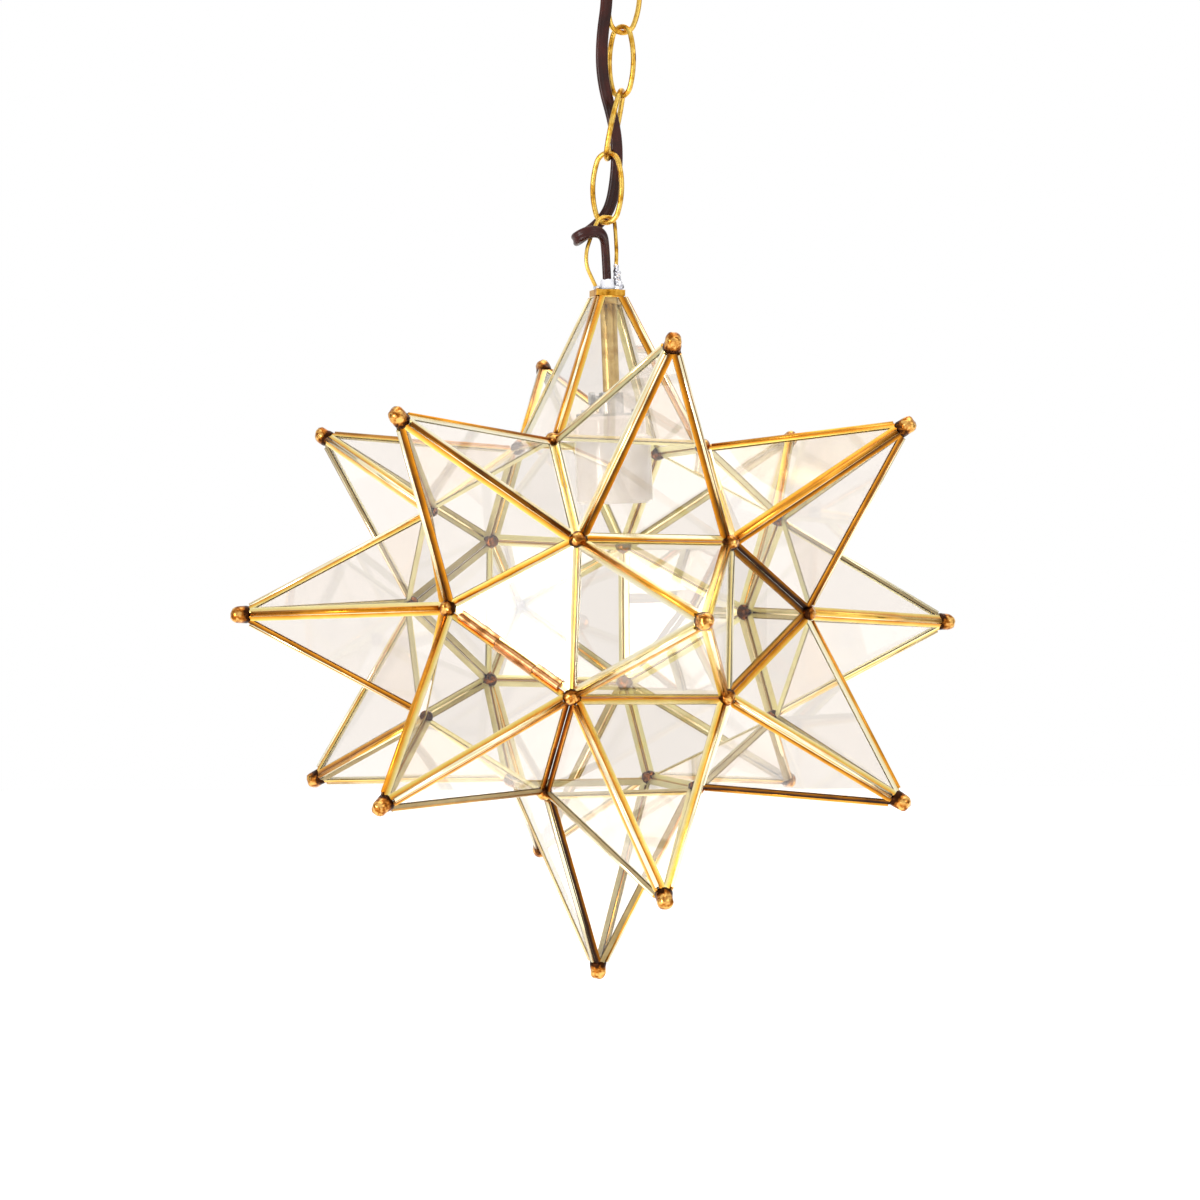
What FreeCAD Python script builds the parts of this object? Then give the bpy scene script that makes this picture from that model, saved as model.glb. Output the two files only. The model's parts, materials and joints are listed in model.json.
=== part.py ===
import FreeCAD, Part
import math
import os

V = FreeCAD.Vector
os.makedirs("parts", exist_ok=True)

# A glass star of eighteen four-sided points that hangs from a ceiling by a chain.
# Millimetres. The origin is the middle of the ceiling plane, +Z is up, and the front point looks along -Y.

# The star's core is a body of eighteen squares and eight triangles, all with one edge length.
CORE_EDGE = 76.5
POINT_REACH = 190.0
TOP_REACH = 180.0

# Each pane is held in its own folded strip of brass, soldered to the next one along the edge.
CAME_THICKNESS = 1.6
CAME_FACE = 3.0
CAME_WEB = 0.7
GLASS_THICKNESS = 1.0
SLOT_GAP = 0.05
SOLDER_GAP = 0.05
DOOR_GAP = 0.3

# Solder over the core's corners and over the ends of the points.
BEAD_RADIUS = 3.6
CAP_HEIGHT = 8.6
CAP_RADIUS = 4.3
CAP_FOOT_RADIUS = 3.5
CAP_CROWN_RADIUS = 2.3
CAP_TOP_OVER = 0.6
CAP_SIDES = 10
BEAD_SIDES = 8
# How far down the cap its bulge ends and starts, and the bead's rings as shares of its radius.
CAP_BULGE_SHARES = (0.72, 0.40)
BEAD_RING_SHARES = ((0.42, -0.86), (0.90, -0.36), (0.90, 0.36), (0.42, 0.86))

# The star is bent and soldered by hand, so ends and corners stand a little off a regular star. These are
# the ones that the photograph shows: how far across to the right, and how far up, in its view, as shares
# of the core's edge.
TIP_SHIFT_SHARES = {
    "upper_front": (-0.026, 0.005),
    "lower_front": (-0.025, -0.039),
    "upper_back": (-0.017, 0.008),
    "lower_back": (0.010, -0.025),
    "right": (0.021, -0.042),
    "left": (-0.022, -0.038),
    "upper_front_right": (-0.016, 0.047),
    "lower_front_right": (-0.009, 0.025),
    "upper_front_left": (0.060, 0.022),
    "lower_front_left": (-0.013, 0.012),
    "upper_back_right": (-0.030, 0.026),
    "upper_back_left": (0.016, -0.030),
    "lower_back_left": (-0.008, 0.017),
    "bottom": (0.004, 0.024),
}
# A corner is given by which of the core's three axes it is far along, and its side on each of them.
CORNER_SHIFT_SHARES = {
    (0, 1, 1, 1): (0.020, -0.022),
    (0, 1, 1, -1): (0.013, -0.018),
    (0, 1, -1, 1): (0.034, -0.094),
    (0, 1, -1, -1): (0.020, -0.075),
    (1, 1, -1, 1): (0.008, -0.112),
    (1, 1, -1, -1): (0.013, -0.099),
    (1, 1, 1, 1): (0.014, -0.010),
    (1, 1, 1, -1): (-0.010, -0.013),
    (1, -1, 1, 1): (0.021, 0.060),
    (1, -1, 1, -1): (-0.005, 0.037),
    (0, -1, 1, 1): (-0.021, 0.058),
    (0, -1, 1, -1): (0.0, 0.050),
    (1, -1, -1, 1): (-0.034, -0.058),
    (1, -1, -1, -1): (-0.003, -0.025),
    (0, -1, -1, 1): (-0.014, -0.014),
    (2, 1, 1, 1): (0.010, 0.025),
    (2, 1, 1, -1): (-0.007, 0.034),
    (2, 1, -1, 1): (0.021, -0.052),
    (2, 1, -1, -1): (0.016, -0.038),
    (2, -1, -1, -1): (0.037, 0.031),
}

# The point that opens, to reach the lamp holder. Corners that are this many core edges or more from the
# centre are the ends of points.
DOOR = "lower_front_left"
POINT_LIMIT_SHARE = 1.6

# The top point is cut off where it is as wide as the square plate that closes it.
COLLAR_SIDE = 15.27
COLLAR_THICKNESS = 3.2

# Hanging bail of thin wire, soldered to the plate. Its plane is turned a little from the front.
BAIL_WIRE = 2.0
BAIL_PLAY = 0.4
BAIL_TURN_DEG = 14.0
BAIL_LEFT_REACH = 14.0
BAIL_RIGHT_REACH = 6.4
BAIL_FOOT_REACH = 6.5
BAIL_CROWN_REACH = 4.2
BAIL_WAIST_SHARE = 0.5
BAIL_SHOULDER_SHARE = 0.42
BAIL_HIP_SHARE = 0.94
BAIL_SIDE_SHARE = 0.97

# Lamp holder on a pipe. Pipe and holder hang a little out of plumb, as in the photograph.
STEM_TILT_DEG = 3.1
STEM_DIAMETER = 8.6
STEM_BORE = 6.8
STEM_LENGTH = 62.0
STEM_PROUD = 0.4
STEM_PLAY = 0.3
STEM_NUT_WIDTH = 12.0
STEM_NUT_THICKNESS = 4.0
BUSHING_DIAMETER = 8.2
BUSHING_TOP_DIAMETER = 6.4
BUSHING_HEIGHT = 5.2
BUSHING_BORE = 5.2

HUB_DIAMETER = 13.0
HUB_HEIGHT = 10.5
HUB_SEAT = 1.5
SET_SCREW_DIAMETER = 3.2
SET_SCREW_LENGTH = 5.0
SET_SCREW_HEAD = 7.0
SET_SCREW_HEAD_THICKNESS = 2.4
BRACKET_LENGTH = 36.0
BRACKET_WIDTH = 9.0
BRACKET_THICKNESS = 1.6
BRACKET_SCREW_SPACING = 27.0
BRACKET_SCREW_DIAMETER = 3.0
BRACKET_SCREW_HEAD = 5.6
BRACKET_SCREW_HEAD_HEIGHT = 1.8
BRACKET_SCREW_DEPTH = 5.0

SOCKET_DIAMETER = 38.6
SOCKET_HEIGHT = 45.0
SOCKET_NECK_DIAMETER = 34.0
SOCKET_NECK_HEIGHT = 9.0
SOCKET_ROUND = 1.6
SHELL_INNER_DIAMETER = 26.6
SHELL_WALL = 0.5
SHELL_LENGTH = 24.0
SHELL_RECESS = 4.0
SHELL_FLANGE = 2.2
CONTACT_DIAMETER = 9.0
CONTACT_THICKNESS = 1.2

# Hinge and finger tab of the point that opens.
BARREL_RADIUS = 1.5
HINGE_PIN_DIAMETER = 1.3
HINGE_PIN_PLAY = 0.05
HINGE_LIFT = 0.3
LEAF_LENGTH = 3.0
LEAF_THICKNESS = 0.8
KNUCKLE_PLAY = 0.3
KNUCKLE_SHARES = (0.10, 0.30, 0.60, 0.90)
TAB_LENGTH = 9.0
TAB_LAP = 3.2
TAB_THICKNESS = 0.8

# Chain of oval wire links.
LINK_HEIGHT = 38.4
LINK_WIDTH = 20.0
LINK_WIRE = 2.7
LINK_END_RADIUS = 6.8
LINK_PLAY = 0.3

# Ceiling fitting.
CANOPY_DIAMETER = 127.0
CANOPY_DEPTH = 30.0
CANOPY_WALL = 1.0
CANOPY_RIM_HEIGHT = 6.0
CANOPY_BOSS_DIAMETER = 34.0
LOOP_RADIUS = 9.5
LOOP_WIRE = 3.2
LOOP_NECK_DIAMETER = 12.0
LOOP_NECK_HEIGHT = 8.0
LOOP_COLLAR_DIAMETER = 20.0
LOOP_COLLAR_HEIGHT = 5.0
NIPPLE_DIAMETER = 9.6
NIPPLE_BORE = 6.8
NIPPLE_PROUD = 8.0
NIPPLE_PLAY = 0.1
LOCKNUT_WIDTH = 15.0
LOCKNUT_THICKNESS = 3.0
STRAP_LENGTH = 108.0
STRAP_WIDTH = 17.0
STRAP_THICKNESS = 1.8
SLOT_SPACING = 88.9
SLOT_LENGTH = 12.0
SLOT_WIDTH = 5.0

# Lamp cord. The solid is a plain tube of the same section as the flat two-core cord.
CORD_DIAMETER = 4.8
CORD_SETBACK_SHARE = 0.45

# One run-out for every cut.
OVERRUN = 1.0
HALF_TURN_DEG = 180.0
QUARTER_TURN_DEG = 90.0
# Two directions count as different when they part by more than this share.
NEAR_SHARE = 0.1

# The photograph is taken from the left of the front point. Chain and cord are laid out in that view:
# across to the right, away from the camera, and up from the star's centre.
VIEW_TURN_DEG = 14.65
VIEW_ACROSS = V(math.cos(math.radians(VIEW_TURN_DEG)), -math.sin(math.radians(VIEW_TURN_DEG)), 0)
VIEW_AWAY = V(math.sin(math.radians(VIEW_TURN_DEG)), math.cos(math.radians(VIEW_TURN_DEG)), 0)
UP = V(0, 0, 1)
RIGHT = V(1, 0, 0)
FRONT = V(0, -1, 0)

# The line of the chain, from the bail to the ceiling loop: how far each link leans to the right of plumb,
# and how far its face is turned from the camera.
LINK_LEANS_DEG = (0.0, 11.5, -0.6, 3.0, -12.4)
LINK_TURNS_DEG = (-31.0, 80.0, -45.0, 20.0, -75.0)
CHAIN_FOOT_ACROSS = -0.85
CHAIN_FOOT_AWAY = -0.2
CHAIN_FOOT_RISE = 36.2

# Cord points in the same view, from inside the ceiling fitting down to the bushing, one group for each
# piece of cord. The pieces meet in the middle of the run between their groups.
CORD_ROUTE = (
    (
        (0.0, 0.0, 243.3),
        (0.0, 0.0, 212.8),
        (-3.4, -7.6, 200.3),
        (-4.6, -8.6, 186.3),
    ),
    (
        (-4.2, -8.4, 168.3),
        (-3.4, -7.4, 150.3),
        (-3.0, -5.4, 126.3),
    ),
    (
        (-1.8, -2.6, 106.3),
        (2.4, 0.2, 85.3),
        (4.2, 3.6, 70.3),
        (3.2, 6.6, 54.3),
    ),
    (
        (0.6, 9.0, 42.3),
        (-5.4, 9.0, 34.3),
        (-13.0, 6.5, 28.3),
        (-17.2, -1.0, 24.8),
        (-16.4, -9.0, 25.8),
        (-9.4, -11.0, 29.3),
        (-2.6, -6.6, 28.8),
        (-1.1, -0.5, 20.8),
        (0.12, 0.0, -1.2),
    ),
)

SQRT2 = math.sqrt(2)
CORE_SHARE = 1 + SQRT2
CORE_HALF = CORE_EDGE / 2
TOP_CUT = (TOP_REACH - CORE_HALF * CORE_SHARE) * COLLAR_SIDE / CORE_EDGE
COLLAR_RISE = TOP_REACH - TOP_CUT
PLATE_TOP = COLLAR_RISE + COLLAR_THICKNESS
LINK_PITCH = LINK_HEIGHT - 2 * LINK_WIRE - LINK_PLAY
# Three of the core's square faces, at right angles to each other, face along these directions.
CORE_AXES = (
    (FRONT + UP) / SQRT2,
    (FRONT - UP) / SQRT2,
    RIGHT,
)


def view_point(across, away, rise):
    """A place or a shift given in the photograph's view."""
    return VIEW_ACROSS * across + VIEW_AWAY * away + UP * rise


def chain_points():
    """Where the bail, the links and the ceiling loop touch, from the bottom up, from the star's centre."""
    points = [view_point(CHAIN_FOOT_ACROSS, CHAIN_FOOT_AWAY, PLATE_TOP + CHAIN_FOOT_RISE)]
    for lean in LINK_LEANS_DEG:
        lean = math.radians(lean)
        points.append(points[-1] + VIEW_ACROSS * LINK_PITCH * math.sin(lean) + UP * LINK_PITCH * math.cos(lean))
    return points


CHAIN = chain_points()
LOOP_CENTRE_RISE = CHAIN[-1].z - (LINK_PLAY + LOOP_WIRE) / 2 + LOOP_RADIUS
STAR_DROP = LOOP_CENTRE_RISE + LOOP_RADIUS + LOOP_NECK_HEIGHT + CANOPY_DEPTH
STAR = V(0, 0, -STAR_DROP)


def save(shapes, name):
    """Write one node's solids to its file."""
    Part.makeCompound(shapes).exportStep("parts/" + name + ".step")


def prism(points, normal, low, high):
    """Extrude a flat outline from low to high along its normal."""
    outline = [point + normal * low for point in points]
    face = Part.Face(Part.makePolygon(outline + outline[:1]))
    return face.extrude(normal * (high - low))


def revolve(profile):
    """Turn a closed profile of (radius, height) points about the Z axis."""
    points = [V(radius, 0, height) for radius, height in profile]
    face = Part.Face(Part.makePolygon(points + points[:1]))
    return face.revolve(V(0, 0, 0), UP, 360)


def cylinder(diameter, length, base=V(0, 0, 0), direction=UP):
    return Part.makeCylinder(diameter / 2, length, base, direction)


def placed(shape, origin, direction):
    """A copy of a shape made along +Z, laid along a direction from an origin."""
    turn = FreeCAD.Rotation(UP, direction)
    copy = shape.copy()
    copy.Placement = FreeCAD.Placement(origin, turn).multiply(copy.Placement)
    return copy


def unit(vector):
    return vector / vector.Length


def core_corner(first, second, third):
    """A corner of the core, in half edges along the core's axes, with its shift by hand."""
    place = (first, second, third)
    along = CORE_AXES[0] * first + CORE_AXES[1] * second + CORE_AXES[2] * third
    sizes = [abs(part) for part in place]
    key = (sizes.index(max(sizes)),) + tuple(1 if part > 0 else -1 for part in place)
    across, rise = CORNER_SHIFT_SHARES.get(key, (0, 0))
    return STAR + along * CORE_HALF + view_point(across, 0, rise) * CORE_EDGE


def point_tip(name, axis):
    """The sharp end of one point of the star, with its shift by hand."""
    across, rise = TIP_SHIFT_SHARES.get(name, (0, 0))
    reach = TOP_REACH if name == "top" else POINT_REACH
    return STAR + axis * reach + view_point(across, 0, rise) * CORE_EDGE


def direction_name(direction):
    """Plain words for the way a point of the star looks."""
    rise, back, side = direction.z, direction.y, direction.x
    words = []
    near = NEAR_SHARE
    level = abs(back) < near and abs(side) < near
    if rise > near:
        words.append("top" if level else "upper")
    if rise < -near:
        words.append("bottom" if level else "lower")
    if back < -near:
        words.append("front")
    if back > near:
        words.append("back")
    if side < -near:
        words.append("left")
    if side > near:
        words.append("right")
    return "_".join(words)


def square_faces():
    """The core's square faces as (name, outward normal, four corners in order), one for each point."""
    faces = []
    for axis in range(3):
        for sign in (1, -1):
            corners = []
            for one, two in ((1, 1), (-1, 1), (-1, -1), (1, -1)):
                place = [one, one, one]
                place[axis] = sign * CORE_SHARE
                place[(axis + 1) % 3] = one
                place[(axis + 2) % 3] = two
                corners.append(core_corner(*place))
            faces.append((CORE_AXES[axis] * sign, corners))
    for axis in range(3):
        other, along = (axis + 1) % 3, (axis + 2) % 3
        for sign in (1, -1):
            for turn in (1, -1):
                corners = []
                for long_one, end in ((True, 1), (False, 1), (False, -1), (True, -1)):
                    place = [end, end, end]
                    place[axis] = sign * (CORE_SHARE if long_one else 1)
                    place[other] = turn * (1 if long_one else CORE_SHARE)
                    place[along] = end
                    corners.append(core_corner(*place))
                faces.append((unit(CORE_AXES[axis] * sign + CORE_AXES[other] * turn), corners))
    return [(direction_name(normal), normal, corners) for normal, corners in faces]


def triangle_faces():
    """The core's triangular faces as (outward normal, three corners)."""
    faces = []
    for one in (1, -1):
        for two in (1, -1):
            for three in (1, -1):
                normal = unit(CORE_AXES[0] * one + CORE_AXES[1] * two + CORE_AXES[2] * three)
                corners = [
                    core_corner(one * CORE_SHARE, two, three),
                    core_corner(one, two * CORE_SHARE, three),
                    core_corner(one, two, three * CORE_SHARE),
                ]
                faces.append((normal, corners))
    return faces


def star_panels():
    """Every pane of the star: its group, corners in order about its outward normal, and the cap's axis."""
    panels = []
    for name, straight, corners in square_faces():
        apex = point_tip(name, straight)
        middle = sum(corners, V(0, 0, 0)) / len(corners)
        axis = UP if name == "top" else unit(apex - middle)
        for start, end in zip(corners, corners[1:] + corners[:1]):
            normal = unit((end - start).cross(apex - start))
            trio = [start, end, apex]
            if normal.dot(axis) < 0:
                normal = -normal
                trio = [end, start, apex]
            panels.append({"group": name, "corners": trio, "normal": normal, "axis": axis})
    for outward, corners in triangle_faces():
        normal = unit((corners[1] - corners[0]).cross(corners[2] - corners[0]))
        if normal.dot(outward) < 0:
            corners = corners[::-1]
            normal = -normal
        panels.append({"group": "flat", "corners": corners, "normal": normal, "axis": None})
    return panels


def edge_key(start, end):
    ends = sorted((round(p.x, 2) + 0.0, round(p.y, 2) + 0.0, round(p.z, 2) + 0.0) for p in (start, end))
    return tuple(ends)


def edge_neighbours(panels):
    """For each edge of the star, the panels that share it."""
    shared = {}
    for panel in panels:
        corners = panel["corners"]
        for start, end in zip(corners, corners[1:] + corners[:1]):
            shared.setdefault(edge_key(start, end), []).append(panel)
    return shared


def seam_inset(panel, other):
    """How far a strip stands back from an edge so that two strips of full thickness only touch there."""
    turn = panel["normal"].getAngle(other["normal"])
    inset = CAME_THICKNESS / 2 * math.tan(turn / 2) + SOLDER_GAP
    if (panel["group"] == DOOR) != (other["group"] == DOOR):
        inset += DOOR_GAP / 2
    return inset


def meet(line, other, normal):
    """Where two lines in one plane cross; a line is a point and a direction."""
    point, along = line
    other_point, other_along = other
    share = (other_point - point).cross(other_along).dot(normal) / along.cross(other_along).dot(normal)
    return point + along * share


def outline(lines, normal, inset):
    """Corners of the outline inside a ring of lines that all move inward by inset."""
    moved = [(point + normal.cross(along) * inset, along) for point, along in lines]
    return [meet(moved[i - 1], moved[i], normal) for i in range(len(moved))]


def corner_cut(panel, corner, bisector):
    """The line along which a panel's strip ends before the solder at one corner: a point and a direction."""
    normal, axis = panel["normal"], panel["axis"]
    if axis is not None and (corner - STAR).Length > POINT_LIMIT_SHARE * CORE_EDGE:
        lean = normal.dot(axis)
        height = TOP_CUT if panel["group"] == "top" else CAP_HEIGHT - CAP_TOP_OVER
        setback = (height + CAME_THICKNESS / 2 * lean + SOLDER_GAP) / math.sqrt(1 - lean * lean)
        down = unit(normal * lean - axis)
        return corner + down * setback, down.cross(normal)
    setback = BEAD_RADIUS + (DOOR_GAP if panel["group"] == DOOR else SOLDER_GAP)
    return corner + bisector * setback, bisector.cross(normal)


def framed_pane(panel, shared):
    """The brass strip round one pane, as one mitred ring with a slot, and the glass in it."""
    corners, normal = panel["corners"], panel["normal"]
    sides = []
    rim = []
    for i, corner in enumerate(corners):
        before, after = corners[i - 1], corners[(i + 1) % len(corners)]
        along = unit(after - corner)
        pair = shared[edge_key(corner, after)]
        other = pair[0] if pair[1] is panel else pair[1]
        side = (corner + normal.cross(along) * seam_inset(panel, other), along)
        bisector = unit(unit(after - corner) + unit(before - corner))
        sides.append(side)
        rim.extend((corner_cut(panel, corner, bisector), side))
    half = CAME_THICKNESS / 2
    slot = GLASS_THICKNESS / 2 + SLOT_GAP
    came = prism(outline(rim, normal, 0), normal, -half, half)
    window = prism(outline(sides, normal, CAME_FACE), normal, -half - OVERRUN, half + OVERRUN)
    came = came.cut(window.common(prism(outline(rim, normal, CAME_WEB), normal, -half - OVERRUN, half + OVERRUN)))
    came = came.cut(prism(outline(rim, normal, CAME_WEB), normal, -slot, slot))
    pane = prism(outline(rim, normal, CAME_WEB + SLOT_GAP), normal, -slot + SLOT_GAP, slot - SLOT_GAP)
    return came.Solids[0], pane.Solids[0]


def tip_cap(panel):
    """A small many-sided cup of solder over the end of a point, from one of the point's panels."""
    low_share, high_share = CAP_BULGE_SHARES
    rings = (
        (CAP_FOOT_RADIUS, -CAP_HEIGHT),
        (CAP_RADIUS, -CAP_HEIGHT * low_share),
        (CAP_RADIUS, -CAP_HEIGHT * high_share),
        (CAP_CROWN_RADIUS, 0),
    )
    solid = lofted(rings, CAP_SIDES)
    apex = max(panel["corners"], key=lambda corner: (corner - STAR).Length)
    return placed(solid, apex + panel["axis"] * CAP_TOP_OVER, panel["axis"])


def lofted(rings, sides):
    """A solid of flat faces through regular rings of (radius, height)."""
    wires = []
    for radius, height in rings:
        ring = [
            V(radius * math.cos(2 * math.pi * i / sides), radius * math.sin(2 * math.pi * i / sides), height)
            for i in range(sides)
        ]
        wires.append(Part.makePolygon(ring + ring[:1]))
    return Part.makeLoft(wires, True, True)


def solder_bead(corner):
    """A low-sided bead of solder at one corner of the core."""
    rings = [(BEAD_RADIUS * radius, BEAD_RADIUS * height) for radius, height in BEAD_RING_SHARES]
    return placed(lofted(rings, BEAD_SIDES), corner, unit(corner - STAR))


def core_corners():
    """The core's twenty-four corners, each once."""
    found = {}
    for _, corners in triangle_faces():
        for corner in corners:
            found[edge_key(corner, corner)] = corner
    return list(found.values())


def build_star():
    """Strips, glass, beads and caps of all the points and of the flat panes between them."""
    panels = star_panels()
    shared = edge_neighbours(panels)
    cames, panes = {}, {}
    for panel in panels:
        came, pane = framed_pane(panel, shared)
        cames.setdefault(panel["group"], []).append(came)
        panes.setdefault(panel["group"], []).append(pane)
    for group, solids in cames.items():
        if group == "flat":
            save(solids, "flat_pane_cames")
        elif group == DOOR:
            save(solids, "door_point_cames")
        else:
            save(solids, "point_cames_" + group)
    tiers = {}
    for group, solids in panes.items():
        tier = group.split("_")[0]
        if tier in ("front", "back", "left", "right"):
            tier = "level"
        if group == DOOR:
            tier = "door"
        tiers.setdefault(tier, []).extend(solids)
    for tier, solids in tiers.items():
        save(solids, "glass_" + tier)
    save([solder_bead(corner) for corner in core_corners()], "solder_beads")
    capped = {panel["group"]: panel for panel in panels if panel["group"] not in ("top", "flat")}
    save([tip_cap(panel) for name, panel in capped.items() if name != DOOR], "tip_caps")
    save([tip_cap(capped[DOOR])], "door_tip_cap")
    return panels, shared


def hinge_frame(panels, shared, first, last):
    """The edge between the door and a flat pane: its start, direction, length and the two panels."""
    start, end = core_corner(*first), core_corner(*last)
    pair = shared[edge_key(start, end)]
    door = pair[0] if pair[0]["group"] == DOOR else pair[1]
    fixed = pair[1] if door is pair[0] else pair[0]
    return start, unit(end - start), (end - start).Length, door, fixed


def leaf_section(centre, panel, along, start):
    """Outline of a hinge leaf from the barrel's foot along the strip's outer face."""
    normal = panel["normal"]
    face_height = (start - centre).dot(normal) + CAME_THICKNESS / 2
    foot = centre + normal * face_height
    inward = normal.cross(along)
    middle = sum(panel["corners"], V(0, 0, 0)) / 3
    if inward.dot(middle - start) < 0:
        inward = -inward
    return [
        foot,
        foot + inward * LEAF_LENGTH,
        foot + inward * LEAF_LENGTH + normal * LEAF_THICKNESS,
        foot + normal * LEAF_THICKNESS,
    ]


def knuckle(centre, panel, along, start, low, high):
    """One hinge knuckle: a short tube on a leaf, from low to high along the edge."""
    section = [point + along * low for point in leaf_section(centre, panel, along, start)]
    leaf = prism(section, along, 0, high - low)
    barrel = cylinder(2 * BARREL_RADIUS, high - low, centre + along * low, along)
    bore = cylinder(HINGE_PIN_DIAMETER + 2 * HINGE_PIN_PLAY, high - low + 2 * OVERRUN,
                    centre + along * (low - OVERRUN), along)
    return barrel.fuse(leaf).cut(bore).removeSplitter().Solids[0]


def build_hinge(panels, shared):
    """Hinge along the door's upper edge, and the finger tab on the edge across from it."""
    start, along, length, door, fixed = hinge_frame(
        panels, shared, (1, CORE_SHARE, -1), (1, 1, -CORE_SHARE))
    half_turn = door["normal"].getAngle(fixed["normal"]) / 2
    bisector = unit(door["normal"] + fixed["normal"])
    lift = (CAME_THICKNESS / 2 + HINGE_LIFT + BARREL_RADIUS) / math.cos(half_turn)
    centre = start + bisector * lift
    stops = [share * length for share in KNUCKLE_SHARES]
    fixed_knuckles = [
        knuckle(centre, fixed, along, start, stops[0], stops[1] - KNUCKLE_PLAY / 2),
        knuckle(centre, fixed, along, start, stops[2] + KNUCKLE_PLAY / 2, stops[3]),
    ]
    save(fixed_knuckles, "hinge_fixed_knuckles")
    moving = knuckle(centre, door, along, start, stops[1] + KNUCKLE_PLAY / 2, stops[2] - KNUCKLE_PLAY / 2)
    save([moving], "hinge_door_knuckle")
    save([cylinder(HINGE_PIN_DIAMETER, stops[3] - stops[0], centre + along * stops[0], along)], "hinge_pin")
    print("door hinge point", tuple(round(c / 1000, 6) for c in centre + along * length / 2))
    print("door hinge axis", tuple(round(c, 6) for c in along))
    build_tab(panels, shared)


def build_tab(panels, shared):
    """A folded strip on the door that laps over the next pane's frame; it stops the door and lifts it."""
    start, along, length, door, fixed = hinge_frame(
        panels, shared, (-1, CORE_SHARE, -1), (-1, 1, -CORE_SHARE))
    bisector = unit(door["normal"] + fixed["normal"])
    half_turn = door["normal"].getAngle(fixed["normal"]) / 2
    valley = start + bisector * (CAME_THICKNESS / 2 / math.cos(half_turn))
    raised = start + bisector * ((CAME_THICKNESS / 2 + DOOR_GAP) / math.cos(half_turn))
    top = start + bisector * ((CAME_THICKNESS / 2 + DOOR_GAP + TAB_THICKNESS) / math.cos(half_turn))
    outer = []
    for panel in (door, fixed):
        inward = panel["normal"].cross(along)
        middle = sum(panel["corners"], V(0, 0, 0)) / 3
        if inward.dot(middle - start) < 0:
            inward = -inward
        outer.append(inward)
    low = (length - TAB_LENGTH) / 2
    on_door = [
        valley,
        valley + outer[0] * TAB_LAP,
        valley + outer[0] * TAB_LAP + door["normal"] * (DOOR_GAP + TAB_THICKNESS),
        top,
    ]
    over_pane = [
        raised,
        top,
        top + outer[1] * TAB_LAP,
        raised + outer[1] * TAB_LAP,
    ]
    on_door = prism([p + along * low for p in on_door], along, 0, TAB_LENGTH)
    over_pane = prism([p + along * low for p in over_pane], along, 0, TAB_LENGTH)
    save(on_door.fuse(over_pane).removeSplitter().Solids, "door_finger_tab")


def tube_path(points):
    """Straight runs joined by tangent arcs, each as large as its two runs allow."""
    edges = []
    radii = []
    last = points[0]
    for i in range(1, len(points) - 1):
        before, here, after = points[i - 1], points[i], points[i + 1]
        into, out = unit(here - before), unit(after - here)
        half_turn = into.getAngle(out) / 2
        shorter = min((here - before).Length, (after - here).Length)
        setback = CORD_SETBACK_SHARE * shorter
        radius = setback / math.tan(half_turn)
        radii.append(radius)
        entry, leave = here - into * setback, here + out * setback
        middle_direction = unit(out - into)
        centre = here + middle_direction * math.hypot(radius, setback)
        middle = centre - middle_direction * radius
        edges.append(Part.LineSegment(last, entry).toShape())
        edges.append(Part.Arc(entry, middle, leave).toShape())
        last = leave
    edges.append(Part.LineSegment(last, points[-1]).toShape())
    return Part.Wire(edges), radii


def tube(points, diameter):
    """A round bar along a path of runs and arcs."""
    path, radii = tube_path(points)
    direction = points[1] - points[0]
    ring = Part.Wire(Part.makeCircle(diameter / 2, points[0], direction))
    solid = path.makePipeShell([ring], True, True)
    return solid, path.Length, radii


def build_cord():
    """The lamp cord in four pieces that meet face to face, from the ceiling fitting to the bushing."""
    groups = [[STAR + UP * PLATE_TOP + view_point(*point) for point in group] for group in CORD_ROUTE]
    meets = [(upper[-1] + lower[0]) / 2 for upper, lower in zip(groups, groups[1:])]
    names = ("cord_canopy", "cord_upper", "cord_middle", "cord_lower")
    for name, group, before, after in zip(names, groups, [None] + meets, meets + [None]):
        points = [before] * (before is not None) + group + [after] * (after is not None)
        solid, length, radii = tube(points, CORD_DIAMETER)
        share = solid.Volume / (math.pi * CORD_DIAMETER ** 2 / 4 * length)
        print(name, "length", round(length, 1), "volume share", round(share, 4),
              "radii", [round(radius, 1) for radius in radii])
        save(solid.Solids, name)


def ring_segment(centre, wire, radius, start_deg, sweep_deg):
    """A bent piece of wire in the XZ plane, about a centre, from an angle above +X."""
    start = math.radians(start_deg)
    radial = V(math.cos(start), 0, math.sin(start))
    tangent = V(-math.sin(start), 0, math.cos(start))
    face = Part.Face(Part.Wire(Part.makeCircle(wire / 2, centre + radial * radius, tangent)))
    return face.revolve(centre, V(0, -1, 0), sweep_deg)


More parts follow.
